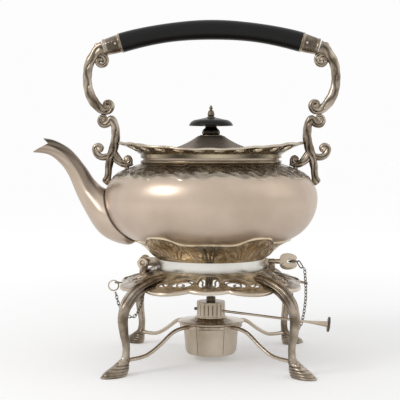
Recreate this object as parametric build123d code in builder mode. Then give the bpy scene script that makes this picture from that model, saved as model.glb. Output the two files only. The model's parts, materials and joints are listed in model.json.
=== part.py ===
from build123d import *

import os
from math import asin, cos, degrees, hypot, pi, radians, sin, sqrt

# A silver spirit kettle on its stand. Z = 0 is the table, the stand's axis is the Z axis, and the
# spout points to -X. All sizes are millimetres.

# Clearances between pieces that move, and between pieces that only pass each other
running_gap = 0.05
loose_gap = 0.3

# Kettle: belly, and how far the foot band and the seat ring stand in and out from the bowl's floor
belly_radius = 106.0
bowl_lower_radius = 43.5
bowl_upper_radius = 30.0
foot_band_inset = 8.0
seat_ring_margin = 2.5
seat_ring_ledge = 9.5
floor_radius = belly_radius - bowl_lower_radius
foot_band_radius = floor_radius - foot_band_inset
seat_ring_outer_radius = foot_band_radius + seat_ring_margin
seat_ring_inner_radius = foot_band_radius - seat_ring_ledge

# Stand: seat ring and pierced apron, with distances out from the seat ring's edge
seat_height = 91.7
seat_ring_thickness = 3.2
seat_ring_chamfer = 0.8
apron_reach = seat_ring_outer_radius + 38.0
apron_drop = 13.0
apron_thickness = 1.6
apron_sag = 1.6
apron_side_distance = seat_ring_outer_radius + 27.0
apron_lobe_rise = 6.0
apron_lobe_share = 0.3
apron_corner_radius = seat_ring_outer_radius + 31.0
apron_edge_width = 2.6
apron_edge_thickness = 3.4
piercing_leaf_distance = seat_ring_outer_radius + 14.0
piercing_leaf_angle = 5.0
piercing_leaf_length = 13.0
piercing_leaf_width = 5.5
piercing_oval_distance = seat_ring_outer_radius + 17.0
piercing_oval_angle = 19.5
piercing_oval_length = 17.0
piercing_oval_width = 9.5

# Cabriole legs on the diagonals: distance out from the seat ring, height as a share of the seat's,
# heading below the horizontal, thickness in the leg's plane and width across it
leg_stations = [
    (7.0, 0.943, 14, 7.0, 13.0),
    (23.0, 0.911, 18, 9.0, 13.0),
    (39.0, 0.840, 38, 10.0, 11.5),
    (50.5, 0.725, 64, 10.5, 10.5),
    (55.6, 0.589, 84, 10.0, 10.0),
    (54.6, 0.436, 95, 8.4, 8.6),
    (52.0, 0.294, 95, 7.0, 7.4),
    (52.0, 0.196, 90, 7.2, 7.8),
]
leg_flats = 12
# Hoof: distance out, height above the table, length and width of each level
hoof_levels = [
    (54.0, 13.0, 9.0, 9.4),
    (58.0, 9.0, 16.0, 12.0),
    (64.0, 4.0, 25.0, 15.5),
    (67.0, 0.0, 29.0, 17.0),
]

# Lamp ring and the four bars that carry it
lamp_ring_height = 37.0
lamp_ring_thickness = 3.6
lamp_ring_inner_radius = 28.4
lamp_ring_outer_radius = 31.4
lamp_ring_chamfer = 0.6
bar_radius = 2.0
bar_root = 1.0
bar_slope = 38.0
bar_bend_radius = 20.0
bar_flat_length = 15.0
bar_end_height = 13.5

# Spirit burner
font_top_radius = 27.6
font_bottom_radius = 24.6
font_floor_height = 6.0
font_wall = 1.2
font_corner_chamfer = 1.8
flange_radius = 33.0
flange_thickness = 1.2
cover_rise = 4.4
cover_hollow = 0.42
collar_radius = 14.3
collar_wall = 1.0
collar_height = 15.4
wick_tube_radius = 4.6
wick_tube_wall = 0.8
wick_tube_rise = 4.4
wick_tube_depth = 30.0
wick_length = 50.0
wick_recess = 1.0
wick_gap = 0.1

# Wick regulator: rod, toothed wheel, cone and thumb disc
regulator_drop_angle = 7.0
regulator_rod_radius = 1.25
regulator_height = 51.0
regulator_length = 117.0
regulator_cone_length = 20.0
regulator_cone_radius = 3.0
regulator_disc_radius = 7.6
regulator_disc_thickness = 2.2
wheel_radius = 3.4
wheel_width = 2.4
wheel_teeth = 8
wheel_tooth_depth = 0.9
rivet_radius = 1.4
rivet_length = 2.4

# Kettle foot, measured out from the edge of the bowl's floor and up from the band, and the bowl
foot_gap = 0.3
foot_band_height = 10.0
foot_wall = 2.5
foot_rise = 16.5
foot_edge_reach = 17.5
foot_edge_rise = 3.3
foot_scallops = 16
foot_scallop_depth = 2.2
foot_waist = (-1.6, 6.7)
foot_shoulder = (8.5, 15.5)
bowl_wall = 1.5
shoulder_turn = 70.0
neck_radius = 68.0
neck_height = 10.0
neck_bead_radius = 1.9

# Pierced gallery round the neck
gallery_base_height = 5.0
gallery_thickness = 1.5
gallery_side_reach = 94.5
gallery_front_reach = 80.0
gallery_rise = 13.0
gallery_crown = 0.4
gallery_scallops = 12
gallery_scallop_depth = 2.0
gallery_piercings = 24
gallery_piercing_share = 0.45
gallery_piercing_width = 3.4

# Lid
lid_seat_gap = 0.3
lid_flange_radius = 67.4
lid_flange_thickness = 1.3
lid_lip_depth = 4.0
lid_lip_radius = 65.7
lid_lip_thickness = 1.2
lid_dome_radius = 59.0
lid_crown_radius = 30.0
lid_crown_rise = 6.0
lid_top_radius = 13.0
lid_top_rise = 15.5
lid_wall = 1.3
lid_hinge_radius = 1.8
lid_hinge_pin_radius = 0.8
lid_hinge_half_width = 11.0
lid_hinge_knuckle = 5.0
lid_hinge_inset = 1.9

# Ebonised finial
finial_collar_radius = 9.4
finial_collar_height = 11.0
finial_collar_flutes = 8
finial_flute_depth = 1.0
finial_disc_radius = 22.0
finial_disc_height = 7.0
finial_knop_radius = 3.4
finial_spire_height = 12.5
finial_tip_radius = 0.5
stud_radius = 1.5
stud_nut_radius = 5.0
stud_nut_height = 2.6

# Overhead handle: its ends stand in from the belly
grip_radius = 9.8
grip_half_span = belly_radius - 17.0
grip_rise = 12.4
grip_top_height = 339.0
tenon_radius = 7.6
tenon_length = 12.0
ferrule_radius = 9.3
ferrule_length = 18.4
ferrule_end_radius = 7.8
ferrule_bead = 1.1
ferrule_pin_radius = 1.1

# Scroll of the handle, placed from the grip's end: distance out and height, then a radius
scroll_width = 7.2
scroll_bar = 7.4
scroll_arc_radius = 37.0
scroll_arc_centre = (-1.0, -35.8)
scroll_arc_top = 43.0
scroll_arc_bottom = -54.0
scroll_pad_length = 16.0
scroll_pad_thickness = 2.6
upper_bud = (25.0, -3.6, 3.2)
upper_curl = (20.8, -17.4, 5.4)
lower_curl = (15.0, -63.6, 4.6)

# Bracket under the scroll: distance out from the belly and share of its height, then a radius
bracket_base_rise = 20.0
bracket_curl = (0.2, 0.820, 4.4)
bracket_ball = (7.2, 0.397, 5.0)
bracket_inner_ball = (-22.6, 0.261, 3.0)
bracket_foot = (-1.8, -0.020, 4.6)
bracket_bar = 6.0
bracket_stem = [(2.5, 0.955), (-8.5, 0.744), (-10.0, 0.534), (-4.0, 0.253), (-2.5, 0.0)]
bracket_branch = [(-7.5, 0.421), (-16.0, 0.323), (-22.0, 0.140)]
bracket_arm = [(-5.0, 0.295), (2.0, 0.302), (7.2, 0.397)]

# Spout stations: top edge and bottom edge, each as distance out from the belly and height above the
# bowl's floor, and the width, from inside the bowl to the mouth
spout_stations = [
    ((-32.0, 43.5), (-36.0, 4.5), 54.0),
    ((-16.0, 50.0), (-22.0, -3.6), 61.0),
    ((0.0, 53.0), (4.5, 7.5), 54.0),
    ((10.5, 61.0), (24.5, 38.0), 29.0),
    ((21.0, 76.0), (37.5, 67.0), 18.5),
    ((35.0, 92.0), (47.5, 80.0), 16.5),
    ((51.0, 101.1), (58.0, 87.1), 15.5),
    ((64.0, 103.5), (72.5, 89.1), 14.5),
]
spout_crown = 0.2
spout_wall = 1.2
mouth_notch = (56.5, 98.1)
mouth_upper_lip = (61.6, 102.5)
mouth_lower_lip = (72.0, 90.1)

# Tilting hinge at the spout side and its pin
hinge_distance = foot_band_radius + 13.0
hinge_height = seat_height + 6.3
hinge_barrel_radius = 4.75
hinge_pin_radius = 2.55
hinge_kettle_half_width = 5.2
hinge_stand_knuckle = 10.5
hinge_web = 6.0
hinge_lug_height = 8.0
hinge_pin_recess = 4.0
hinge_pin_head_radius = 4.2
hinge_pin_head = 2.6
pin_eye_radius = 2.8
pin_eye_wire = 0.55

# Locking pin at the other side
lock_height = seat_height + 6.9
lock_pin_radius = 1.6
lock_pin_tip = foot_band_radius - 5.0
lock_slot_gap = 0.3
lock_sleeve_radius = 2.8
lock_sleeve_start = foot_band_radius + 3.1
lock_sleeve_length = 6.6
lock_post_thickness = 4.0
lock_lug_length = 2.8
lock_lug_width = 8.6
lock_lug_rise = 1.2
lock_collar_radius = 2.5
lock_collar_length = 4.6
heart_length = 17.0
heart_width = 16.4
heart_thickness = 2.4
heart_hole_radius = 1.7
jump_ring_radius = 4.6
jump_ring_wire = 0.6
long_link_length = 9.0
long_link_width = 4.0

# Chains: link size and the points that each hangs through, as distance out from the seat ring's edge,
# distance to the back and depth below the seat
link_length = 5.4
link_width = 3.6
link_wire = 0.9
link_play = 0.14
eyelet_radius = 2.6
eyelet_wire = 0.7
eyelet_flats = 12
ear_height = seat_height - 15.2
left_ring_radius = 5.1
left_ring_wire = 0.65
left_ring_lean = 35.0
left_chain_points = [
    (39.2, 0.5, 25.5),
    (34.0, 5.0, 43.7),
    (22.0, 12.0, 51.7),
    (13.5, 20.0, 33.7),
    (12.8, 24.7, 8.7),
    (10.5, 21.8, -1.5),
]
right_eyelet_place = (25.0, 10.0, 16.3)
right_chain_points = [
    (37.0, 0.5, 3.7),
    (38.0, 1.0, 29.7),
    (34.0, 2.5, 55.7),
    (27.0, 5.0, 63.2),
    (24.5, 8.0, 45.7),
    (25.0, 10.0, 21.1),
]

os.makedirs("parts", exist_ok=True)


def save(piece, name):
    """Labels a finished piece and writes it as one STEP file."""
    piece.part.label = name
    export_step(piece.part, f"parts/{name}.step")


def diagonal_plane(quadrant):
    """Vertical plane through the stand's axis and one leg: local X points out, local Y up."""
    turn = radians(45 + 90 * quadrant)
    return Plane(origin=(0, 0, 0), x_dir=(cos(turn), sin(turn), 0), z_dir=(sin(turn), -cos(turn), 0))


def leg_section(plane, width, depth):
    """Oval section of a leg, with flats as a file leaves them."""
    turns = [2 * pi * flat / leg_flats for flat in range(leg_flats)]
    with BuildSketch(plane) as section:
        Polygon(*[(width / 2 * cos(turn), depth / 2 * sin(turn)) for turn in turns], align=None)
    return section.sketch


leg_names = ["rear_right", "rear_left", "front_left", "front_right"]

# Cabriole legs, each a loft through ovals that turns from the apron down to a flat hoof
legs = {}
for quadrant, leg_name in enumerate(leg_names):
    plane = diagonal_plane(quadrant)
    with BuildPart() as leg:
        for distance, height, heading, thickness, width in leg_stations:
            along = plane.x_dir * cos(radians(heading)) - Vector(0, 0, sin(radians(heading)))
            origin = plane.x_dir * (seat_ring_outer_radius + distance) + Vector(0, 0, height * seat_height)
            add(leg_section(Plane(origin=origin, x_dir=plane.z_dir, z_dir=along), width, thickness))
        for distance, height, length, width in hoof_levels:
            origin = plane.x_dir * (seat_ring_outer_radius + distance) + Vector(0, 0, height)
            add(leg_section(Plane(origin=origin, x_dir=plane.z_dir, z_dir=(0, 0, -1)), width, length))
        loft(ruled=True)
    legs[leg_name] = leg
    save(leg, f"{leg_name}_leg")

# Seat ring that the kettle's foot stands on
with BuildPart() as seat_ring:
    with BuildSketch(Plane.XY.offset(seat_height - seat_ring_thickness)):
        Circle(seat_ring_outer_radius)
        Circle(seat_ring_inner_radius, mode=Mode.SUBTRACT)
    extrude(amount=seat_ring_thickness)
    chamfer(seat_ring.edges().filter_by(GeomType.CIRCLE).group_by(Axis.Z)[-1].sort_by(SortBy.RADIUS)[-1],
            seat_ring_chamfer)
save(seat_ring, "seat_ring")


def apron_height(radius):
    """Height of the apron's top face at a distance from the axis, on the chord of its flare."""
    share = (radius - seat_ring_outer_radius) / (apron_reach - seat_ring_outer_radius)
    return seat_height - apron_thickness - share * apron_drop


def apron_flare(thickness):
    """Section of the flared apron, of a chosen thickness below its top face."""
    start = (seat_ring_outer_radius, apron_height(seat_ring_outer_radius))
    middle_radius = (seat_ring_outer_radius + apron_reach) / 2
    middle = (middle_radius, apron_height(middle_radius) - apron_sag)
    end = (apron_reach, apron_height(apron_reach))
    low = (end[0], end[1] - thickness)
    low_middle = (middle[0], middle[1] - thickness)
    low_start = (start[0], start[1] - thickness)
    with BuildSketch(Plane.XZ) as section:
        with BuildLine():
            Polyline(start, middle, end, low, low_middle, low_start, close=True)
        make_face()
    return section.sketch


def under_apron():
    """Half section of the space below the apron's top face."""
    start = (seat_ring_outer_radius, apron_height(seat_ring_outer_radius))
    middle_radius = (seat_ring_outer_radius + apron_reach) / 2
    middle = (middle_radius, apron_height(middle_radius) - apron_sag)
    end = (apron_reach, apron_height(apron_reach))
    with BuildSketch(Plane.XZ) as section:
        with BuildLine():
            Polyline(start, middle, end, (apron_reach, 0), (seat_ring_outer_radius, 0), close=True)
        make_face()
    return section.sketch


def apron_outline(inset):
    """Plan of the apron: four sides of three lobes each, meeting at the legs."""
    corner = (apron_corner_radius - inset) * sin(radians(45))
    side = apron_side_distance - inset
    lobe = apron_lobe_rise
    half = corner * apron_lobe_share
    with BuildSketch() as plan:
        with BuildLine():
            for turn in range(4):
                points = [
                    (corner, -corner),
                    (side + lobe / 2, -(corner + half) / 2),
                    (side, -half),
                    (side + lobe, 0),
                    (side, half),
                    (side + lobe / 2, (corner + half) / 2),
                    (corner, corner),
                ]
                points = [Vector(*p).rotate(Axis.Z, 90 * turn) for p in points]
                ThreePointArc(points[0], points[1], points[2])
                ThreePointArc(points[2], points[3], points[4])
                ThreePointArc(points[4], points[5], points[6])
        make_face()
    return plan.sketch


# Moulded edge of the apron: the flare made thicker and kept only along the lobed outline
with BuildPart() as moulded_edge:
    add(apron_flare(apron_edge_thickness))
    revolve(axis=Axis.Z)
    extrude(apron_outline(0), amount=seat_height, mode=Mode.INTERSECT)
    extrude(apron_outline(apron_edge_width), amount=seat_height, mode=Mode.SUBTRACT)

# Pierced apron: the thin flare with its moulded edge, notched round the legs
with BuildPart() as apron:
    add(apron_flare(apron_thickness))
    revolve(axis=Axis.Z)
    extrude(apron_outline(0), amount=seat_height, mode=Mode.INTERSECT)
    add(moulded_edge.part)
    with BuildSketch():
        for hand in (-1, 1):
            with PolarLocations(piercing_leaf_distance, 4, start_angle=hand * piercing_leaf_angle):
                SlotOverall(piercing_leaf_length, piercing_leaf_width)
            with PolarLocations(piercing_oval_distance, 4, start_angle=hand * piercing_oval_angle):
                SlotOverall(piercing_oval_length, piercing_oval_width, rotation=90)
    extrude(amount=seat_height, mode=Mode.SUBTRACT)
    for leg in legs.values():
        add(leg.part, mode=Mode.SUBTRACT)
save(apron, "apron")

# Lamp ring
with BuildPart() as lamp_ring:
    with BuildSketch(Plane.XY.offset(lamp_ring_height - lamp_ring_thickness)):
        Circle(lamp_ring_outer_radius)
        Circle(lamp_ring_inner_radius, mode=Mode.SUBTRACT)
    extrude(amount=lamp_ring_thickness)
    chamfer(lamp_ring.edges().filter_by(GeomType.CIRCLE).sort_by(SortBy.RADIUS)[-2:], lamp_ring_chamfer)
save(lamp_ring, "lamp_ring")

# Bars from the lamp ring to the legs: flat, down a slope, then flat again into the ankle
bar_start_height = lamp_ring_height - lamp_ring_thickness / 2
bar_bend_drop = 2 * bar_bend_radius * (1 - cos(radians(bar_slope)))
bar_slope_drop = bar_start_height - bar_end_height - bar_bend_drop
for quadrant, leg_name in enumerate(leg_names):
    plane = diagonal_plane(quadrant)
    ankle = seat_ring_outer_radius + leg_stations[-1][0]
    with BuildPart() as bar:
        with BuildLine(plane):
            start = (lamp_ring_outer_radius - bar_root, bar_start_height)
            flat = Line(start, (start[0] + bar_flat_length, bar_start_height))
            over = JernArc(flat @ 1, flat % 1, bar_bend_radius, -bar_slope)
            slope_length = bar_slope_drop / sin(radians(bar_slope))
            slope = PolarLine(over @ 1, slope_length, direction=over % 1)
            under = JernArc(slope @ 1, slope % 1, bar_bend_radius, bar_slope)
            reach = ankle + bar_root - (plane.to_local_coords(under @ 1)).X
            end = PolarLine(under @ 1, reach, direction=under % 1)
        with BuildSketch(Plane(origin=flat @ 0, z_dir=flat % 0)):
            RegularPolygon(bar_radius, 8)
        sweep()
        add(legs[leg_name].part, mode=Mode.SUBTRACT)
        add(lamp_ring.part, mode=Mode.SUBTRACT)
    save(bar, f"{leg_name}_lamp_bar")

# Spirit font: a tapered cup that hangs through the lamp ring
flange_height = lamp_ring_height + loose_gap
font_top_height = flange_height + flange_thickness
with BuildPart() as font:
    with BuildSketch(Plane.XZ) as font_section:
        with BuildLine():
            Polyline(
                (0, font_floor_height),
                (font_bottom_radius, font_floor_height),
                (font_top_radius, flange_height),
                (flange_radius, flange_height),
                (flange_radius, font_top_height),
                (font_top_radius - font_wall, font_top_height),
                (font_bottom_radius - font_wall, font_floor_height + font_wall),
                (0, font_floor_height + font_wall),
                close=True,
            )
        make_face()
        chamfer(font_section.vertices().sort_by_distance((font_bottom_radius, font_floor_height))[0],
                font_corner_chamfer)
    revolve(axis=Axis.Z)
save(font, "font")

# Cover: a shallow dome that closes the font and rises to the collar
collar_base_height = font_top_height + cover_rise
with BuildPart() as cover:
    with BuildSketch(Plane.XZ):
        with BuildLine():
            rim = Line((flange_radius, font_top_height), (font_top_radius, font_top_height))
            under = Line(rim @ 1, (wick_tube_radius, collar_base_height - flange_thickness))
            Line(under @ 1, (wick_tube_radius, collar_base_height))
            Line((wick_tube_radius, collar_base_height), (collar_radius, collar_base_height))
            ThreePointArc((collar_radius, collar_base_height),
                          ((collar_radius + flange_radius) / 2, font_top_height + cover_rise * cover_hollow),
                          (flange_radius, font_top_height + flange_thickness / 2))
            Line((flange_radius, font_top_height + flange_thickness / 2), rim @ 0)
        make_face()
    revolve(axis=Axis.Z)
save(cover, "burner_cover")

# The regulator's own axis: it slopes down to the right and passes beside the wick
wick_radius = wick_tube_radius - wick_tube_wall - wick_gap
wheel_offset = wick_radius + loose_gap + wheel_radius
drop = radians(regulator_drop_angle)
regulator_axis = Vector(cos(drop), 0, -sin(drop))
regulator_origin = Vector(0, -wheel_offset, regulator_height)
collar_top_height = collar_base_height + collar_height


def across_regulator(distance):
    """Plane square to the regulator's rod at a distance along it from the wick."""
    return Plane(origin=regulator_origin + regulator_axis * distance, x_dir=(0, 1, 0), z_dir=regulator_axis)


# Collar: an open-bottomed drum round the wick tube, bored for the regulator's rod
with BuildPart() as collar:
    with BuildSketch(Plane.XY.offset(collar_base_height)):
        Circle(collar_radius)
    extrude(amount=collar_height)
    chamfer(collar.faces().sort_by(Axis.Z)[-1].edges(), collar_wall / 2)
    with BuildSketch(Plane.XY.offset(collar_base_height)):
        Circle(collar_radius - collar_wall)
    extrude(amount=collar_height - collar_wall, mode=Mode.SUBTRACT)
    with BuildSketch(Plane.XY.offset(collar_base_height)):
        Circle(wick_tube_radius)
    extrude(amount=collar_height, mode=Mode.SUBTRACT)
    with BuildSketch(across_regulator(0)):
        Circle(regulator_rod_radius + running_gap)
    extrude(amount=2 * collar_radius, mode=Mode.SUBTRACT)
save(collar, "burner_collar")

# Rivet on the collar's spout side
with BuildPart() as rivet:
    with BuildSketch(Plane.YZ.offset(-collar_radius - rivet_length)):
        with Locations((0, collar_base_height + collar_height / 2)):
            Circle(rivet_radius)
    extrude(amount=rivet_length + collar_wall)
    add(collar.part, mode=Mode.SUBTRACT)
save(rivet, "collar_rivet")

# Wick tube, slotted where the toothed wheel reaches the wick
with BuildPart() as wick_tube:
    tube_base = collar_base_height - wick_tube_depth
    tube_top = collar_top_height + wick_tube_rise
    with BuildSketch(Plane.XY.offset(tube_base)):
        Circle(wick_tube_radius)
        Circle(wick_tube_radius - wick_tube_wall, mode=Mode.SUBTRACT)
    extrude(amount=tube_top - tube_base)
    with BuildSketch(Plane.XZ.offset(wheel_offset)):
        with Locations((0, regulator_height)):
            Rectangle(wheel_width + 4 * loose_gap, 2 * wheel_radius + 4 * loose_gap)
    extrude(amount=-wheel_offset, mode=Mode.SUBTRACT)
save(wick_tube, "wick_tube")

# Round wick; its top stands just inside the tube's mouth
with BuildPart() as wick:
    with BuildSketch(Plane.XY.offset(tube_top - wick_recess - wick_length)):
        Circle(wick_radius)
    extrude(amount=wick_length)
save(wick, "wick")

# Regulator rod, with a cone where it swells to the thumb disc
with BuildPart() as regulator_rod:
    rod_length = regulator_length - regulator_cone_length
    with BuildSketch(across_regulator(-wheel_width)):
        Circle(regulator_rod_radius)
    extrude(amount=rod_length + wheel_width)
    with BuildSketch(across_regulator(rod_length)):
        Circle(regulator_rod_radius)
    with BuildSketch(across_regulator(regulator_length)):
        Circle(regulator_cone_radius)
    loft()
save(regulator_rod, "regulator_rod")

# Toothed wheel that grips the wick
with BuildPart() as wheel:
    with BuildSketch(across_regulator(-wheel_width / 2)) as wheel_section:
        Circle(wheel_radius)
        with PolarLocations(wheel_radius, wheel_teeth):
            RegularPolygon(wheel_tooth_depth, 3, rotation=180, mode=Mode.SUBTRACT)
        Circle(regulator_rod_radius, mode=Mode.SUBTRACT)
    extrude(amount=wheel_width)
save(wheel, "wick_wheel")

# Thumb disc at the rod's end
with BuildPart() as thumb_disc:
    with BuildSketch(across_regulator(regulator_length)):
        Circle(regulator_disc_radius)
    extrude(amount=regulator_disc_thickness)
    chamfer(thumb_disc.edges().filter_by(GeomType.CIRCLE), regulator_disc_thickness / 4)
save(thumb_disc, "regulator_disc")

# Foot band that stands on the seat ring
foot_base = seat_height + foot_gap
band_top = foot_base + foot_band_height
foot_inner_radius = foot_band_radius - foot_wall
bowl_floor = band_top + foot_rise
with BuildPart() as foot_band:
    with BuildSketch(Plane.XY.offset(foot_base)):
        Circle(foot_band_radius)
        Circle(foot_inner_radius, mode=Mode.SUBTRACT)
    extrude(amount=foot_band_height)
    with BuildSketch(Plane.YZ):
        with Locations((0, lock_height)):
            Circle(lock_pin_radius + lock_slot_gap)
        with Locations((0, foot_base)):
            Rectangle(2 * (lock_pin_radius + lock_slot_gap), lock_height - foot_base,
                      align=(Align.CENTER, Align.MIN))
    extrude(amount=2 * foot_band_radius, mode=Mode.SUBTRACT)
save(foot_band, "foot_band")

# Space of the bowl: from the floor, round the belly and over the shoulder into the neck
with BuildPart() as bowl_space:
    with BuildSketch(Plane.XZ):
        with BuildLine():
            floor = Line((0, bowl_floor), (floor_radius, bowl_floor))
            lower = JernArc(floor @ 1, floor % 1, bowl_lower_radius, 90)
            upper = JernArc(lower @ 1, lower % 1, bowl_upper_radius, shoulder_turn)
            neck_run = ((upper @ 1).X - neck_radius) / sin(radians(shoulder_turn))
            shoulder = PolarLine(upper @ 1, neck_run, direction=upper % 1)
            neck = Line(shoulder @ 1, shoulder @ 1 + Vector(0, neck_height))
            mouth = Line(neck @ 1, (0, (neck @ 1).Y))
            Line(mouth @ 1, floor @ 0)
        make_face()
    revolve(axis=Axis.Z)
neck_base = (shoulder @ 1).Y
neck_top = (neck @ 1).Y

with BuildPart() as bowl_inside:
    with BuildSketch(Plane.XZ):
        with BuildLine():
            floor = Line((0, bowl_floor + bowl_wall), (floor_radius, bowl_floor + bowl_wall))
            lower = JernArc(floor @ 1, floor % 1, bowl_lower_radius - bowl_wall, 90)
            upper = JernArc(lower @ 1, lower % 1, bowl_upper_radius - bowl_wall, shoulder_turn)
            inner_neck_run = ((upper @ 1).X - neck_radius + bowl_wall) / sin(radians(shoulder_turn))
            shoulder = PolarLine(upper @ 1, inner_neck_run, direction=upper % 1)
            neck = Line(shoulder @ 1, ((shoulder @ 1).X, neck_top))
            mouth = Line(neck @ 1, (0, neck_top))
            Line(mouth @ 1, floor @ 0)
        make_face()
    revolve(axis=Axis.Z)


def beside_belly(place):
    """Point of the spout's side view, from its distance out from the belly and height above the floor."""
    return Vector(-belly_radius - place[0], 0, bowl_floor + place[1])


def spout_section(top, bottom, width, wall):
    """Section of the swan-neck spout: a round belly under a flatter, creased top."""
    top_point = beside_belly(top)
    bottom_point = beside_belly(bottom)
    upright = (top_point - bottom_point).normalized()
    depth = (top_point - bottom_point).length - 2 * wall
    half = width / 2 - wall
    crease = depth * (0.5 - spout_crown)
    plane = Plane(origin=(top_point + bottom_point) / 2, x_dir=(0, 1, 0), z_dir=Vector(0, 1, 0).cross(upright))
    with BuildSketch(plane) as section:
        with BuildLine():
            ThreePointArc((half, crease), (0, depth / 2), (-half, crease))
            Spline([(-half, crease), (0, -depth / 2), (half, crease)], tangents=[(0, -1), (0, 1)])
        make_face()
    return section.sketch


with BuildPart() as spout_space:
    for top, bottom, width in spout_stations:
        add(spout_section(top, bottom, width, spout_wall))
    loft()

# Spout: the outer loft less its passage, cut back to the bowl's wall, with a beak-shaped mouth
with BuildPart() as spout:
    for top, bottom, width in spout_stations:
        add(spout_section(top, bottom, width, 0))
    loft()
    add(spout_space.part, mode=Mode.SUBTRACT)
    add(bowl_space.part, mode=Mode.SUBTRACT)
    with BuildSketch(Plane.XZ):
        with BuildLine():
            beyond = 2 * spout_stations[-1][2]
            notch, upper_lip, lower_lip = [
                Vector(point.X, point.Z) for point in map(beside_belly, (mouth_notch, mouth_upper_lip, mouth_lower_lip))
            ]
            Polyline(
                notch,
                upper_lip,
                upper_lip + Vector(-beyond, beyond),
                lower_lip - Vector(beyond, beyond / 2),
                lower_lip,
                close=True,
            )
        make_face()
    extrude(amount=spout_stations[-1][2], both=True, mode=Mode.SUBTRACT)

# Floor plate let into the bowl, and the neck's ring soldered on the shoulder
with BuildPart() as floor_plate:
    with BuildSketch(Plane.XY.offset(bowl_floor)):
        Circle(floor_radius)
    extrude(amount=bowl_wall)
save(floor_plate, "bowl_floor")

with BuildPart() as neck_ring:
    with BuildSketch(Plane.XY.offset(neck_base)):
        Circle(neck_radius)
        Circle(neck_radius - bowl_wall, mode=Mode.SUBTRACT)
    extrude(amount=neck_height)
save(neck_ring, "neck")

with BuildPart() as bowl:
    add(bowl_space.part)
    for space in (bowl_inside, spout_space, floor_plate, neck_ring):
        add(space.part, mode=Mode.SUBTRACT)
save(bowl, "bowl")


def lobed_outline(side_reach, front_reach, lobes, depth):
    """Closed outline of arcs that swell by a depth from the ellipse that they stand on."""
    with BuildSketch() as plan:
        with BuildLine():
            for lobe in range(lobes):
                points = []
                for share, inset in ((0, depth), (0.5, 0), (1, depth)):
                    angle = 2 * pi * ((lobe + share) % lobes) / lobes
                    points.append(((side_reach - inset) * cos(angle), (front_reach - inset) * sin(angle)))
                ThreePointArc(*points)
        make_face()
    return plan.sketch


# Foot: flared mount between the band and the bowl, with a scalloped upper edge
foot_reach = floor_radius + foot_edge_reach
with BuildPart() as foot:
    with BuildSketch(Plane.XZ):
        with BuildLine():
            base = Line((foot_inner_radius, band_top), (foot_band_radius, band_top))
            waist = (floor_radius + foot_waist[0], band_top + foot_waist[1])
            shoulder = (floor_radius + foot_shoulder[0], band_top + foot_shoulder[1])
            flare = Spline(base @ 1, waist, shoulder, (foot_reach, bowl_floor + foot_edge_rise))
            back = Line(flare @ 1, (floor_radius, bowl_floor + 2 * bowl_wall))
            Line(back @ 1, base @ 0)
        make_face()
    revolve(axis=Axis.Z)
    extrude(lobed_outline(foot_reach, foot_reach, foot_scallops, foot_scallop_depth),
            amount=belly_radius * 2, mode=Mode.INTERSECT)
    add(bowl_space.part, mode=Mode.SUBTRACT)
save(foot, "kettle_foot")

with BuildPart() as spout_on_foot:
    add(spout.part)
    add(foot.part, mode=Mode.SUBTRACT)
save(spout_on_foot, "spout")

# Bead round the foot of the neck
with BuildPart() as neck_bead:
    with BuildSketch(Plane.XZ):
        with Locations((neck_radius + neck_bead_radius / 2, neck_base + neck_bead_radius / 2)):
            RegularPolygon(neck_bead_radius, 6)
    revolve(axis=Axis.Z)
    add(bowl_space.part, mode=Mode.SUBTRACT)
save(neck_bead, "neck_bead")

# Gallery: a collar outside the neck that flares to a lobed, pierced rim
gallery_base = neck_top - gallery_base_height
flare_middle = (neck_radius + gallery_side_reach) / 2
with BuildPart() as gallery:
    with BuildSketch(Plane.XZ):
        with BuildLine():
            flare_height = neck_top + gallery_rise / 2 + gallery_crown
            Polyline(
                (neck_radius, gallery_base),
                (neck_radius, neck_top + lid_seat_gap),
                (flare_middle, flare_height),
                (gallery_side_reach, neck_top + gallery_rise),
                (gallery_side_reach, neck_top + gallery_rise - gallery_thickness),
                (flare_middle, flare_height - gallery_thickness),
                (neck_radius + gallery_thickness, neck_top + lid_seat_gap - gallery_thickness / 2),
                (neck_radius + gallery_thickness, gallery_base),
                close=True,
            )
        make_face()
    revolve(axis=Axis.Z)
    extrude(lobed_outline(gallery_side_reach, gallery_front_reach, gallery_scallops, gallery_scallop_depth),
            amount=2 * neck_top, mode=Mode.INTERSECT)
    with BuildSketch():
        for piercing in range(gallery_piercings):
            angle = 360 * (piercing + 0.5) / gallery_piercings
            reach = hypot(gallery_side_reach * cos(radians(angle)), gallery_front_reach * sin(radians(angle)))
            room = reach - neck_radius - gallery_thickness
            with PolarLocations(reach - room / 2, 1, start_angle=angle):
                SlotOverall(room * gallery_piercing_share, gallery_piercing_width)
    extrude(amount=2 * neck_top, mode=Mode.SUBTRACT)
save(gallery, "gallery")

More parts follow.
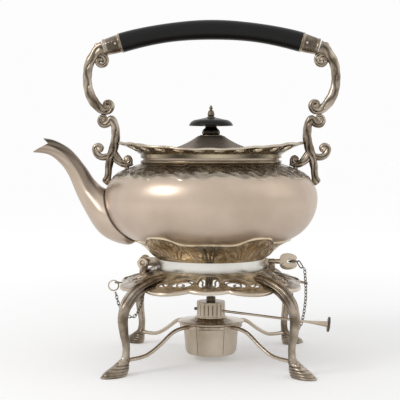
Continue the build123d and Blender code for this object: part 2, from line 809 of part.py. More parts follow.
# Lid: flange over the neck and a low dome, bored for the finial's stud
flange_base = neck_top + lid_seat_gap
flange_top = flange_base + lid_flange_thickness
lid_hinge_distance = neck_radius - lid_hinge_inset
lid_hinge_height = flange_top + lid_hinge_radius * 2 / 3
crown_height = flange_top + lid_crown_rise
lid_top = flange_top + lid_top_rise
with BuildPart() as lid:
    with BuildSketch(Plane.XZ):
        with BuildLine():
            Polyline(
                (lid_dome_radius - lid_wall, flange_base),
                (lid_flange_radius, flange_base),
                (lid_flange_radius, flange_top),
                (lid_dome_radius, flange_top),
            )
            ThreePointArc((lid_dome_radius, flange_top), (lid_crown_radius, crown_height),
                          (lid_top_radius, lid_top))
            Polyline(
                (lid_top_radius, lid_top),
                (stud_radius, lid_top),
                (stud_radius, lid_top - lid_wall),
                (lid_top_radius - lid_wall, lid_top - lid_wall),
            )
            ThreePointArc((lid_top_radius - lid_wall, lid_top - lid_wall),
                          (lid_crown_radius - lid_wall / 2, crown_height - lid_wall),
                          (lid_dome_radius - lid_wall, flange_base))
        make_face()
    revolve(axis=Axis.Z)
    with BuildSketch(Plane.XZ):
        with Locations((lid_hinge_distance, lid_hinge_height)):
            Circle(lid_hinge_radius + loose_gap)
            Rectangle(neck_radius, 4 * lid_hinge_radius, align=(Align.MIN, Align.CENTER))
    extrude(amount=lid_hinge_half_width + loose_gap, both=True, mode=Mode.SUBTRACT)
save(lid, "lid")

# Bezel under the lid's flange, which drops inside the neck
with BuildPart() as bezel:
    with BuildSketch(Plane.XY.offset(flange_base - lid_lip_depth)):
        Circle(lid_lip_radius)
        Circle(lid_lip_radius - lid_lip_thickness, mode=Mode.SUBTRACT)
    extrude(amount=lid_lip_depth)
save(bezel, "lid_bezel")


def hinge_side(height, thickness, reach):
    """Section of one lid hinge leaf: its knuckle and a flat tongue that runs to a distance."""
    with BuildSketch(Plane.XZ) as section:
        with Locations((lid_hinge_distance, lid_hinge_height)):
            Circle(lid_hinge_radius)
        with Locations(((lid_hinge_distance + reach) / 2, height + thickness / 2)):
            Rectangle(abs(reach - lid_hinge_distance), thickness)
    return section.sketch


# Pin of the lid's hinge
with BuildPart() as lid_hinge_pin:
    with BuildSketch(Plane.XZ):
        with Locations((lid_hinge_distance, lid_hinge_height)):
            Circle(lid_hinge_pin_radius)
    extrude(amount=lid_hinge_half_width, both=True)
save(lid_hinge_pin, "lid_hinge_pin")

# Leaf on the lid, bored to turn on the pin
with BuildPart() as lid_leaf:
    leaf_reach = lid_dome_radius - lid_hinge_knuckle
    extrude(hinge_side(flange_top, lid_flange_thickness, leaf_reach), amount=lid_hinge_knuckle, both=True)
    with BuildSketch(Plane.XZ):
        with Locations((lid_hinge_distance, lid_hinge_height)):
            Circle(lid_hinge_pin_radius + running_gap)
    extrude(amount=lid_hinge_half_width, both=True, mode=Mode.SUBTRACT)
    add(lid.part, mode=Mode.SUBTRACT)
save(lid_leaf, "lid_hinge_leaf")

# Knuckles on the gallery, one each side of the lid's leaf
with BuildPart() as lid_knuckles:
    plate_reach = neck_radius + lid_hinge_knuckle
    extrude(hinge_side(lid_hinge_height - gallery_thickness / 2, gallery_thickness, plate_reach),
            amount=lid_hinge_half_width, both=True)
    with BuildSketch(Plane.XZ):
        with Locations((lid_hinge_distance, lid_hinge_height)):
            Rectangle(4 * lid_hinge_knuckle, 4 * lid_hinge_knuckle)
    extrude(amount=lid_hinge_knuckle + loose_gap, both=True, mode=Mode.SUBTRACT)
    add(gallery.part, mode=Mode.SUBTRACT)
    add(lid_hinge_pin.part, mode=Mode.SUBTRACT)
save(lid_knuckles, "lid_hinge_knuckles")

# Finial: fluted collar, ebonised disc, and a stud with its knop and nut
disc_base = lid_top + finial_collar_height
disc_top = disc_base + finial_disc_height
with BuildPart() as finial_stud:
    with BuildSketch(Plane.XZ):
        with BuildLine():
            stud_end = lid_top - lid_wall - stud_nut_height
            Polyline(
                (0, stud_end),
                (stud_radius, stud_end),
                (stud_radius, disc_top),
                (finial_knop_radius, disc_top + finial_knop_radius * 2 / 3),
                (finial_knop_radius, disc_top + finial_knop_radius * 4 / 3),
                (stud_radius, disc_top + 2 * finial_knop_radius),
                (finial_tip_radius, disc_top + finial_spire_height),
                (0, disc_top + finial_spire_height),
                close=True,
            )
        make_face()
    revolve(axis=Axis.Z)
save(finial_stud, "finial_stud")

with BuildPart() as finial_nut:
    with BuildSketch(Plane.XY.offset(stud_end)):
        RegularPolygon(stud_nut_radius, 6)
        Circle(stud_radius, mode=Mode.SUBTRACT)
    extrude(amount=stud_nut_height)
save(finial_nut, "finial_nut")

with BuildPart() as finial_collar:
    flutes = lobed_outline(finial_collar_radius, finial_collar_radius, finial_collar_flutes, finial_flute_depth)
    extrude(Plane.XY.offset(lid_top) * flutes, amount=finial_collar_height)
    add(finial_stud.part, mode=Mode.SUBTRACT)
save(finial_collar, "finial_collar")

with BuildPart() as finial_disc:
    with BuildSketch(Plane.XZ):
        with BuildLine():
            droop = finial_disc_height / 3
            under = Line((stud_radius, disc_base), (finial_collar_radius, disc_base))
            nose = ThreePointArc(under @ 1, (finial_disc_radius * 0.75, disc_base - droop / 3),
                                 (finial_disc_radius, disc_base + droop / 2))
            over = ThreePointArc(nose @ 1, (finial_disc_radius * 0.8, disc_base + 2 * droop),
                                 (finial_disc_radius / 3, disc_top))
            Polyline(over @ 1, (stud_radius, disc_top), under @ 0)
        make_face()
    revolve(axis=Axis.Z)
save(finial_disc, "finial_disc")

# Overhead grip: an arc of ebonised wood that ends in a tenon at each side
grip_centre_height = grip_top_height - grip_radius
grip_end = Vector(grip_half_span, 0, grip_centre_height - grip_rise)
grip_bend = (grip_half_span**2 + grip_rise**2) / (2 * grip_rise)
end_angle = degrees(asin(grip_half_span / grip_bend))
end_axis = Vector(cos(radians(end_angle)), 0, -sin(radians(end_angle)))


def across_grip_end(distance):
    """Plane square to the grip's right end, at a distance beyond it."""
    return Plane(origin=grip_end + end_axis * distance, x_dir=(0, 1, 0), z_dir=end_axis)


with BuildPart() as ferrule_pin:
    with BuildSketch(Plane.XZ):
        pin_centre = grip_end + end_axis * tenon_length / 2
        with Locations((pin_centre.X, pin_centre.Z)):
            Circle(ferrule_pin_radius)
    extrude(amount=ferrule_radius, both=True)

with BuildPart() as ferrule_pins:
    add(ferrule_pin.part)
    mirror(about=Plane.YZ)
save(ferrule_pins, "ferrule_pins")

with BuildPart() as grip:
    with BuildLine():
        arch = ThreePointArc((-grip_end.X, 0, grip_end.Z), (0, 0, grip_centre_height), grip_end)
    with BuildSketch(Plane(origin=arch @ 0, z_dir=arch % 0)):
        Circle(grip_radius)
    sweep()
    with BuildSketch(across_grip_end(0)) as tenon:
        Circle(tenon_radius)
    extrude(amount=tenon_length)
    extrude(mirror(tenon.sketch, about=Plane.YZ, mode=Mode.PRIVATE), amount=tenon_length,
            dir=Vector(-end_axis.X, 0, end_axis.Z))
    add(ferrule_pins.part, mode=Mode.SUBTRACT)
save(grip, "grip")

with BuildPart() as right_ferrule:
    with BuildSketch(across_grip_end(0)):
        Circle(ferrule_radius)
    with BuildSketch(across_grip_end(ferrule_length)):
        Circle(ferrule_end_radius)
    loft()
    with BuildSketch(across_grip_end(0)):
        Circle(ferrule_radius + ferrule_bead)
    extrude(amount=2 * ferrule_bead)
    with BuildSketch(across_grip_end(0)):
        Circle(tenon_radius)
    extrude(amount=tenon_length, mode=Mode.SUBTRACT)
    add(ferrule_pins.part, mode=Mode.SUBTRACT)

# Scroll between the ferrule and the bracket: a broad arc with a pad, a bud and two curls
with BuildPart() as right_scroll:
    with BuildSketch(Plane.XZ):
        with BuildLine():
            arc_centre = (grip_end.X + scroll_arc_centre[0], grip_end.Z + scroll_arc_centre[1])
            CenterArc(arc_centre, scroll_arc_radius, scroll_arc_bottom, scroll_arc_top - scroll_arc_bottom)
        trace(line_width=scroll_bar)
        for distance, height, radius in (upper_bud, upper_curl, lower_curl):
            with Locations((grip_end.X + distance, grip_end.Z + height)):
                Circle(radius)
        pad_centre = grip_end + end_axis * (ferrule_length + scroll_pad_thickness / 2)
        with Locations((pad_centre.X, pad_centre.Z)):
            Rectangle(scroll_pad_thickness, scroll_pad_length, rotation=-end_angle)
        with Locations((pad_centre.X + scroll_pad_thickness, pad_centre.Z - scroll_pad_thickness)):
            Rectangle(scroll_bar, scroll_bar, rotation=-end_angle)
    extrude(amount=scroll_width / 2, both=True)

bracket_base_height = bowl_floor + bowl_lower_radius + bracket_base_rise
bracket_height = grip_end.Z + lower_curl[1] - bracket_base_height


def on_bracket(distance, share):
    """Point of the bracket's side view, between the shoulder and the scroll's lower curl."""
    return (belly_radius + distance, bracket_base_height + share * bracket_height)


# Bracket: an S-shaped stem that stands on the shoulder, with a curl, balls and an inner branch
with BuildPart() as right_bracket:
    with BuildSketch(Plane.XZ):
        with BuildLine():
            Spline(*[on_bracket(*place) for place in bracket_stem])
        trace(line_width=bracket_bar)
        for branch in (bracket_branch, bracket_arm):
            with BuildLine():
                Spline(*[on_bracket(*place) for place in branch])
            trace(line_width=bracket_bar * 2 / 3)
        for distance, share, radius in (bracket_curl, bracket_ball, bracket_inner_ball, bracket_foot):
            with Locations(on_bracket(distance, share)):
                Circle(radius)
    extrude(amount=scroll_width / 2, both=True)
    add(right_scroll.part, mode=Mode.SUBTRACT)
    add(bowl_space.part, mode=Mode.SUBTRACT)

for side_name, turn in (("right", 0), ("left", 180)):
    for piece, name in ((right_ferrule, "ferrule"), (right_scroll, "handle_scroll"),
                        (right_bracket, "handle_bracket")):
        with BuildPart() as handle_piece:
            add(piece.part.rotate(Axis.Z, turn))
        save(handle_piece, f"{side_name}_{name}")

# Tilting hinge: the kettle's knuckle between the stand's two, on one loose pin
stand_knuckle_start = hinge_kettle_half_width + loose_gap
stand_knuckle_end = stand_knuckle_start + hinge_stand_knuckle
with BuildPart() as hinge_bore:
    with BuildSketch(Plane.XZ):
        with Locations((-hinge_distance, hinge_height)):
            Circle(hinge_pin_radius + running_gap)
    extrude(amount=2 * stand_knuckle_end, both=True)

with BuildPart() as kettle_knuckle:
    with BuildSketch(Plane.XZ):
        with Locations((-hinge_distance, hinge_height)):
            Circle(hinge_barrel_radius)
            Rectangle(hinge_distance - foot_inner_radius, hinge_lug_height, align=(Align.MIN, Align.CENTER))
    extrude(amount=hinge_kettle_half_width, both=True)
    add(hinge_bore.part, mode=Mode.SUBTRACT)
    add(foot_band.part, mode=Mode.SUBTRACT)
    with BuildSketch(Plane.XY.offset(foot_base)):
        Circle(foot_inner_radius)
    extrude(amount=foot_band_height, mode=Mode.SUBTRACT)
save(kettle_knuckle, "kettle_hinge_knuckle")

with BuildPart() as stand_knuckles:
    with BuildSketch(Plane.XZ):
        with Locations((-hinge_distance, hinge_height)):
            Circle(hinge_barrel_radius)
            Rectangle(hinge_web, hinge_height - seat_height + apron_drop, align=(Align.CENTER, Align.MAX))
    extrude(amount=stand_knuckle_end, both=True)
    with BuildSketch(Plane.XZ):
        with Locations((-hinge_distance, hinge_height)):
            Rectangle(4 * hinge_barrel_radius, 4 * hinge_height)
    extrude(amount=stand_knuckle_start, both=True, mode=Mode.SUBTRACT)
    add(hinge_bore.part, mode=Mode.SUBTRACT)
    revolve(under_apron(), axis=Axis.Z, mode=Mode.SUBTRACT)
save(stand_knuckles, "stand_hinge_knuckles")

# Loose hinge pin: it stops short of the front knuckle's face and has a head and an eye behind
with BuildPart() as hinge_pin:
    with BuildSketch(Plane.XZ.offset(stand_knuckle_end - hinge_pin_recess)):
        with Locations((-hinge_distance, hinge_height)):
            Circle(hinge_pin_radius)
    extrude(amount=-(2 * stand_knuckle_end - hinge_pin_recess))
    with BuildSketch(Plane.XZ.offset(-stand_knuckle_end)):
        with Locations((-hinge_distance, hinge_height)):
            Circle(hinge_pin_head_radius)
    extrude(amount=-hinge_pin_head)
    with BuildSketch(Plane.YZ.offset(-hinge_distance)):
        with Locations((stand_knuckle_end + hinge_pin_head + pin_eye_radius, hinge_height)):
            Circle(pin_eye_radius + pin_eye_wire)
            Circle(pin_eye_radius - pin_eye_wire, mode=Mode.SUBTRACT)
    extrude(amount=pin_eye_wire, both=True)
save(hinge_pin, "hinge_pin")

# Lock at the right: a notched lug on the kettle and a sleeve on the stand, with one loose pin
sleeve_end = lock_sleeve_start + lock_sleeve_length
notch_half = lock_pin_radius + lock_slot_gap
lug_start = sqrt(foot_band_radius**2 - (lock_lug_width / 2) ** 2)
with BuildPart() as lock_lug:
    with BuildSketch(Plane.YZ.offset(lug_start)):
        with Locations((0, foot_base)):
            Rectangle(lock_lug_width, lock_height + notch_half + lock_lug_rise - foot_base,
                      align=(Align.CENTER, Align.MIN))
            Rectangle(2 * notch_half, lock_height - foot_base, align=(Align.CENTER, Align.MIN), mode=Mode.SUBTRACT)
        with Locations((0, lock_height)):
            Circle(notch_half, mode=Mode.SUBTRACT)
    extrude(amount=foot_band_radius + lock_lug_length - lug_start)
    add(foot_band.part, mode=Mode.SUBTRACT)
save(lock_lug, "lock_lug")

with BuildPart() as lock_sleeve:
    with BuildSketch(Plane.YZ.offset(lock_sleeve_start)):
        with Locations((0, lock_height)):
            Circle(lock_sleeve_radius)
            Rectangle(lock_post_thickness, lock_height - seat_height + apron_drop, align=(Align.CENTER, Align.MAX))
        with Locations((0, lock_height)):
            Circle(lock_pin_radius + running_gap, mode=Mode.SUBTRACT)
    extrude(amount=lock_sleeve_length)
    revolve(under_apron(), axis=Axis.Z, mode=Mode.SUBTRACT)
save(lock_sleeve, "lock_sleeve")

collar_start = sleeve_end + loose_gap
heart_start = collar_start + lock_collar_length
with BuildPart() as lock_pin:
    with BuildSketch(Plane.YZ.offset(lock_pin_tip)):
        with Locations((0, lock_height)):
            Circle(lock_pin_radius)
    extrude(amount=collar_start - lock_pin_tip)
    with BuildSketch(Plane.YZ.offset(collar_start)):
        with Locations((0, lock_height)):
            Circle(lock_collar_radius)
    extrude(amount=lock_collar_length)
save(lock_pin, "lock_pin")

# Heart-shaped thumbpiece with its point at the collar and a hole at its far end
with BuildPart() as heart:
    with BuildSketch(Plane.XZ):
        with BuildLine():
            tip = (heart_start, lock_height)
            lobe = heart_width / 4
            for hand in (1, -1):
                side = (heart_start + heart_length - 2 * lobe, lock_height + hand * 2 * lobe)
                top = (heart_start + heart_length, lock_height + hand * lobe)
                cleft = (heart_start + heart_length - lobe, lock_height)
                Spline(tip, side, top, cleft)
        make_face()
        with Locations((heart_start + heart_length - 2 * lobe, lock_height)):
            Circle(heart_hole_radius, mode=Mode.SUBTRACT)
    extrude(amount=heart_thickness / 2, both=True)
    add(lock_pin.part, mode=Mode.SUBTRACT)
save(heart, "lock_pin_heart")


def beside_seat(distance, back, depth):
    """Point beside the seat ring, from its distance out, distance to the back and depth below the seat."""
    return Vector(seat_ring_outer_radius + distance, back, seat_height - depth)


def link_plane(point, along, across):
    """Plane of one link: local X along the chain, local Z out of the link's own plane."""
    return Plane(origin=point, x_dir=along, z_dir=across)


def link_face(plane, length, width, wire):
    """Face of a flat link with cut corners."""
    with BuildSketch(plane) as face:
        outer = Rectangle(length, width)
        chamfer(face.vertices(), wire)
        Rectangle(length - 2 * wire, width - 2 * wire, mode=Mode.SUBTRACT)
    return face.sketch


# Jump ring through the heart's hole, and the long link that hangs from it
ring_centre = heart_start + heart_length - 2 * lobe + jump_ring_radius
with BuildPart() as pin_links:
    with BuildSketch(Plane.XY.offset(lock_height)):
        with Locations((ring_centre, 0)):
            Circle(jump_ring_radius + jump_ring_wire)
            Circle(jump_ring_radius - jump_ring_wire, mode=Mode.SUBTRACT)
    extrude(amount=jump_ring_wire, both=True)
    long_top = Vector(ring_centre + jump_ring_radius, 0, lock_height)
    long_along = (beside_seat(*right_chain_points[0]) - long_top).normalized()
    long_middle = long_top + long_along * (long_link_length / 2 - 1.5 * jump_ring_wire)
    long_plane = link_plane(long_middle, long_along, Vector(0, 1, 0).cross(long_along).cross(long_along))
    extrude(link_face(long_plane, long_link_length, long_link_width, 2 * jump_ring_wire),
            amount=jump_ring_wire, both=True)
save(pin_links, "lock_pin_links")

# Left ear: an eyelet on the apron's edge and the large ring that hangs through it
ear_distance = apron_side_distance + apron_lobe_rise + eyelet_radius + 2 * eyelet_wire
with BuildPart() as left_ear:
    with BuildSketch(Plane.XY.offset(ear_height)):
        with Locations((-ear_distance, 0)):
            RegularPolygon(eyelet_radius + eyelet_wire, eyelet_flats)
            Rectangle(eyelet_radius + 2 * eyelet_wire, 2 * eyelet_wire, align=(Align.MIN, Align.CENTER))
            RegularPolygon(eyelet_radius - eyelet_wire, eyelet_flats, mode=Mode.SUBTRACT)
    extrude(amount=eyelet_wire, both=True)
save(left_ear, "left_eyelet")

with BuildPart() as left_ring:
    lean = radians(left_ring_lean)
    ring_x = -ear_distance - left_ring_radius * cos(lean)
    ring_z = ear_height - left_ring_radius * sin(lean)
    with BuildSketch(Plane.XZ):
        with Locations((ring_x, ring_z)):
            Circle(left_ring_radius + left_ring_wire)
            Circle(left_ring_radius - left_ring_wire, mode=Mode.SUBTRACT)
    extrude(amount=left_ring_wire, both=True)
save(left_ring, "left_chain_ring")

# Right eyelet under the apron, where the right chain ends
with BuildPart() as right_eyelet:
    eyelet = beside_seat(*right_eyelet_place)
    with BuildSketch(Plane.XZ.offset(-eyelet.Y)):
        with Locations((eyelet.X, eyelet.Z)):
            Circle(eyelet_radius + eyelet_wire)
            Circle(eyelet_radius - eyelet_wire, mode=Mode.SUBTRACT)
    extrude(amount=eyelet_wire, both=True)
    add(apron.part, mode=Mode.SUBTRACT)
save(right_eyelet, "right_eyelet")


def chain(points):
    """Links along a hanging curve, each turned a quarter from the one before."""
    with BuildLine(mode=Mode.PRIVATE) as hanging:
        Spline(*points)
    curve = hanging.edge()
    sideways = Vector(0, 0, 1).cross(curve @ 1 - curve @ 0).normalized()
    count = round(curve.length / (link_length - 2 * link_wire - 2 * link_play))
    with BuildPart(mode=Mode.PRIVATE) as links:
        for link in range(count):
            share = (link + 0.5) / count
            along = curve % share
            across = sideways.cross(along).normalized()
            if link % 2:
                across = across.cross(along)
            plane = link_plane(curve @ share, along, across)
            extrude(link_face(plane, link_length, link_width, link_wire), amount=link_wire / 2, both=True)
    return links


right_chain = chain([beside_seat(*place) for place in right_chain_points])
save(right_chain, "right_chain")
left_places = [beside_seat(*place) for place in left_chain_points]
left_chain = chain([(-place.X, place.Y, place.Z) for place in left_places])
save(left_chain, "left_chain")
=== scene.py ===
# %% [markdown]
# # A silver spirit kettle on its stand
# The kettle is raised and cast silver plate: a round bowl under a pierced gallery, a swan-neck spout, an
# ebonised grip on scrolled brackets, and a stand on four cabriole legs with a spirit burner. The packed
# frame gives every place and size. Most visible pieces are remodelled here as smooth meshes, because a
# polished metal shows every facet of a coarse solid.

# %% Load the frame
import json
import math

import bmesh
import bpy
from mathutils import Matrix, Vector


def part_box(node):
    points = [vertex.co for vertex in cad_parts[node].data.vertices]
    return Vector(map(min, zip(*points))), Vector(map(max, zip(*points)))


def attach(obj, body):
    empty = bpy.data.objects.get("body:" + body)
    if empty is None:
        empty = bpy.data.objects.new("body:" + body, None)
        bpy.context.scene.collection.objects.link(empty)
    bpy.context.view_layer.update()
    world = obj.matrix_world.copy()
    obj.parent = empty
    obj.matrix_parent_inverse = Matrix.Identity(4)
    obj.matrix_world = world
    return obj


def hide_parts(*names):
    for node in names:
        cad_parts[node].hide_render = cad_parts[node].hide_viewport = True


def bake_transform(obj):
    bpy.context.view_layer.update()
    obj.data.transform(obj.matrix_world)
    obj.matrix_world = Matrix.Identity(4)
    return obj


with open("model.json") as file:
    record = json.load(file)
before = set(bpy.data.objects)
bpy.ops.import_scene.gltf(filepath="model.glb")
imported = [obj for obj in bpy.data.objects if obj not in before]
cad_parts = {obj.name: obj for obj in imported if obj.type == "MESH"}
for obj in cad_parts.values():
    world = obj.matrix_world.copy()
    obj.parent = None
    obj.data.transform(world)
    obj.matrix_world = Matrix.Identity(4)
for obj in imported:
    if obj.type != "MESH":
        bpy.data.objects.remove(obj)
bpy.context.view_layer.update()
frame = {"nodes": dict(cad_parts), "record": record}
MM = 0.001

# %% [markdown]
# ## Camera
# The photograph was taken from about a metre with a long lens, a little above the bowl's middle. A 90 mm
# lens at 1 m gives the same mild perspective, and a small turn puts the kettle right of the centre.

# %% Camera
CAMERA_DISTANCE = 1.0
CAMERA_HEIGHT = 0.205
CAMERA_SWING = math.radians(1.5)
CAMERA_PITCH = math.radians(-2.58)
CAMERA_YAW = math.radians(0.63)
LENS_MM = 90
SENSOR_MM = 36

camera = bpy.data.objects.new("camera", bpy.data.cameras.new("camera"))
bpy.context.scene.collection.objects.link(camera)
camera.data.lens = LENS_MM
camera.data.sensor_width = SENSOR_MM
camera.location = (
    CAMERA_DISTANCE * math.sin(CAMERA_SWING),
    -CAMERA_DISTANCE * math.cos(CAMERA_SWING),
    CAMERA_HEIGHT,
)
camera.rotation_euler = (math.pi / 2 + CAMERA_PITCH, 0, CAMERA_SWING + CAMERA_YAW)
bpy.context.scene.camera = camera
bpy.context.scene.view_settings.view_transform = "Standard"
print("camera", camera.location[:])

# %% [markdown]
# ## Light and floor
# Two large soft lamps and a white surround are what a table-top studio uses for silver. The camera and
# the reflections see a brighter surround than the one that lights the metal, so the metal mirrors a white
# room while the light on it stays plain. The floor glows for the same rays, and more with distance, so
# that it runs into the white without a horizon.


# %% Shader nodes
def set_inputs(node, **values):
    """Gives inputs their values; an underscore stands for a blank in an input's name."""
    for name, value in values.items():
        node.inputs[name.replace("_", " ")].default_value = value


def add_node(tree, kind, **values):
    node = tree.nodes.new("ShaderNode" + kind)
    set_inputs(node, **values)
    return node


def combined(tree, operation, first, second):
    """One value made of two sockets."""
    node = add_node(tree, "Math")
    node.operation = operation
    tree.links.new(first, node.inputs[0])
    tree.links.new(second, node.inputs[1])
    return node.outputs[0]


def seen_rays(tree):
    """A factor that is 1 for camera, glossy and transmission rays."""
    path = add_node(tree, "LightPath")
    seen = combined(tree, "MAXIMUM", path.outputs["Is Camera Ray"], path.outputs["Is Glossy Ray"])
    return combined(tree, "MAXIMUM", seen, path.outputs["Is Transmission Ray"])


def new_material(name):
    """A material, its node tree and its shader."""
    material = bpy.data.materials.new(name)
    material.use_nodes = True
    return material, material.node_tree, material.node_tree.nodes["Principled BSDF"]


print("node helpers ready")

# %% Surround and lamps
WHITE = (1, 1, 1, 1)
SURROUND_AS_LIGHT = 0.62
SURROUND_AS_SEEN = 0.98
OBJECT_MIDDLE = Vector((0, 0, 0.15))
LAMPS = {
    "left_lamp": {"place": (-0.95, -0.7, 0.95), "size": 0.5, "power": 4.6},
    "right_lamp": {"place": (1.2, -0.2, 0.9), "size": 1.0, "power": 1.0},
}


def make_world():
    world = bpy.data.worlds.new("surround")
    bpy.context.scene.world = world
    world.use_nodes = True
    tree = world.node_tree
    lighting = tree.nodes["Background"]
    set_inputs(lighting, Color=WHITE, Strength=SURROUND_AS_LIGHT)
    shown = add_node(tree, "Background", Color=WHITE, Strength=SURROUND_AS_SEEN)
    mix = add_node(tree, "MixShader")
    tree.links.new(seen_rays(tree), mix.inputs[0])
    tree.links.new(lighting.outputs[0], mix.inputs[1])
    tree.links.new(shown.outputs[0], mix.inputs[2])
    tree.links.new(mix.outputs[0], tree.nodes["World Output"].inputs["Surface"])


def make_lamp(name, place, size, power):
    lamp = bpy.data.objects.new(name, bpy.data.lights.new(name, "AREA"))
    bpy.context.scene.collection.objects.link(lamp)
    lamp.data.size = size
    lamp.data.energy = power
    lamp.location = place
    lamp.rotation_euler = (OBJECT_MIDDLE - Vector(place)).to_track_quat("-Z", "Y").to_euler()


make_world()
for lamp_name, lamp_values in LAMPS.items():
    make_lamp(lamp_name, **lamp_values)
print("lamps", list(LAMPS))

# %% Floor
FLOOR_SIZE = 30.0
FLOOR_GREY = 0.93
FLOOR_GLOW_NEAR = 0.24
FLOOR_GLOW_FAR = 0.385
GLOW_START = 0.1
GLOW_END = 1.1


def make_floor_material():
    """Matt pale grey, with a glow for seen rays that grows with the distance from the object."""
    material, tree, shader = new_material("pale_floor")
    set_inputs(shader, Base_Color=(FLOOR_GREY, FLOOR_GREY, FLOOR_GREY, 1), Emission_Color=WHITE)
    set_inputs(shader, Roughness=0.9, Specular_IOR_Level=0.1)
    place = add_node(tree, "TexCoord")
    distance = add_node(tree, "VectorMath")
    distance.operation = "LENGTH"
    tree.links.new(place.outputs["Object"], distance.inputs[0])
    glow = add_node(tree, "MapRange", From_Min=GLOW_START, From_Max=GLOW_END)
    set_inputs(glow, To_Min=FLOOR_GLOW_NEAR, To_Max=FLOOR_GLOW_FAR)
    glow.interpolation_type = "SMOOTHSTEP"
    tree.links.new(distance.outputs["Value"], glow.inputs["Value"])
    lift = combined(tree, "MULTIPLY", glow.outputs["Result"], seen_rays(tree))
    tree.links.new(lift, shader.inputs["Emission Strength"])
    return material


bm = bmesh.new()
bmesh.ops.create_grid(bm, x_segments=1, y_segments=1, size=FLOOR_SIZE)
floor_mesh = bpy.data.meshes.new("floor")
bm.to_mesh(floor_mesh)
bm.free()
floor = bpy.data.objects.new("floor", floor_mesh)
bpy.context.scene.collection.objects.link(floor)
floor_mesh.materials.append(make_floor_material())
print("floor", 2 * FLOOR_SIZE, "m wide")

# %% [markdown]
# ## Metals
# Old silver plate is warm grey, a little matt, and dark where polish never reaches. One material carries
# this: broad noise varies the tone, fine noise the roughness, and a point attribute darkens the hollows of
# cast and chased ornament with patina, and on some pieces also carries painted shade and painted
# reflections. Pieces without the attribute stay clean.

# %% Metal material
# The darkest tone, used for patina in hollows and also for painted shade and painted reflections.
DARK_PATINA_AND_SHADE = (0.035, 0.028, 0.02)
CLOUD_SCALE = 22.0
CLOUD_LOW = 0.35
CLOUD_HIGH = 0.65
GRAIN_SCALE = 160.0
GRAIN_STRENGTH = 0.06
GRAIN_DEPTH = 0.4 * MM
SMOOTHER = 0.06
ROUGHER = 0.08


def add_noise(tree, place, scale, detail):
    noise = add_node(tree, "TexNoise", Scale=scale, Detail=detail)
    tree.links.new(place, noise.inputs["Vector"])
    return noise.outputs["Fac"]


def mix_colours(tree, factor, first, second):
    """A node that goes from the first colour to the second."""
    mix = add_node(tree, "Mix")
    mix.data_type = "RGBA"
    set_inputs(mix, A=(*first, 1), B=(*second, 1))
    tree.links.new(factor, mix.inputs["Factor"])
    return mix


def add_bump(tree, shader, height, strength, distance):
    bump = add_node(tree, "Bump", Strength=strength, Distance=distance)
    tree.links.new(height, bump.inputs["Height"])
    tree.links.new(bump.outputs["Normal"], shader.inputs["Normal"])


def metal(name, light, dark, roughness, grain=1.0, cloud=CLOUD_SCALE):
    """A worn metal: light and dark tones mixed by noise, and patina and painted shade where the attribute
    says.
    """
    material, tree, shader = new_material(name)
    set_inputs(shader, Metallic=1.0)
    place = add_node(tree, "TexCoord").outputs["Object"]

    broad = add_noise(tree, place, cloud, 4.0)
    spread = add_node(tree, "MapRange", From_Min=CLOUD_LOW, From_Max=CLOUD_HIGH)
    tree.links.new(broad, spread.inputs["Value"])
    tone = mix_colours(tree, spread.outputs["Result"], dark, light)
    # The attribute holds patina and also painted shade and painted reflections, mixed towards the darkest
    # tone.
    painted = add_node(tree, "Attribute")
    painted.attribute_name = "patina_and_shade"
    darken = mix_colours(tree, painted.outputs["Fac"], light, DARK_PATINA_AND_SHADE)
    tree.links.new(tone.outputs["Result"], darken.inputs["A"])
    tree.links.new(darken.outputs["Result"], shader.inputs["Base Color"])

    fine = add_noise(tree, place, GRAIN_SCALE, 6.0)
    rough = add_node(tree, "MapRange", To_Min=roughness - SMOOTHER, To_Max=roughness + ROUGHER)
    tree.links.new(fine, rough.inputs["Value"])
    tree.links.new(rough.outputs["Result"], shader.inputs["Roughness"])
    add_bump(tree, shader, fine, GRAIN_STRENGTH * grain, GRAIN_DEPTH)
    return material


# %% The metals
satin_silver = metal("satin_silver", (0.585, 0.475, 0.385), (0.50, 0.40, 0.315), 0.33)
lid_silver = metal("lid_silver", (0.24, 0.20, 0.16), (0.13, 0.105, 0.08), 0.52)
bright_silver = metal("bright_silver", (0.66, 0.58, 0.48), (0.42, 0.34, 0.25), 0.22)
cast_silver = metal("cast_silver", (0.60, 0.51, 0.41), (0.20, 0.155, 0.11), 0.2, grain=2.0, cloud=75.0)
gilded_silver = metal("gilded_silver", (0.86, 0.73, 0.53), (0.62, 0.50, 0.34), 0.24, grain=2.0)
pale_band = metal("pale_band", (0.74, 0.73, 0.68), (0.62, 0.60, 0.54), 0.3)
dark_silver = metal("dark_silver", (0.22, 0.18, 0.13), (0.09, 0.07, 0.05), 0.35, grain=2.0)
brown_silver = metal("brown_silver", (0.36, 0.29, 0.20), (0.17, 0.13, 0.085), 0.2, cloud=40.0)
black_metal = metal("black_metal", (0.055, 0.048, 0.04), (0.02, 0.018, 0.015), 0.35, grain=2.0)
print("metals made")

# %% [markdown]
# ## Ebonised wood and wick
# The grip and the finial's disc are wood stained black and waxed: nearly black, with long faint grain and
# a soft shine. The wick is undyed cotton. Noise stretched by a Mapping node gives both their fibres.

# %% Wood and cotton
FIBRE_DEPTH = 0.2 * MM


def plain_fibre(name, colour, streak, roughness, scale):
    """A dull fibrous surface, with streaks along the axis that has the smallest scale."""
    material, tree, shader = new_material(name)
    place = add_node(tree, "TexCoord")
    stretch = add_node(tree, "Mapping", Scale=scale)
    tree.links.new(place.outputs["Object"], stretch.inputs["Vector"])
    grain = add_noise(tree, stretch.outputs["Vector"], 1.0, 8.0)
    tone = mix_colours(tree, grain, colour, streak)
    tree.links.new(tone.outputs["Result"], shader.inputs["Base Color"])
    set_inputs(shader, Roughness=roughness, Specular_IOR_Level=0.22)
    add_bump(tree, shader, grain, 0.25, FIBRE_DEPTH)
    return material


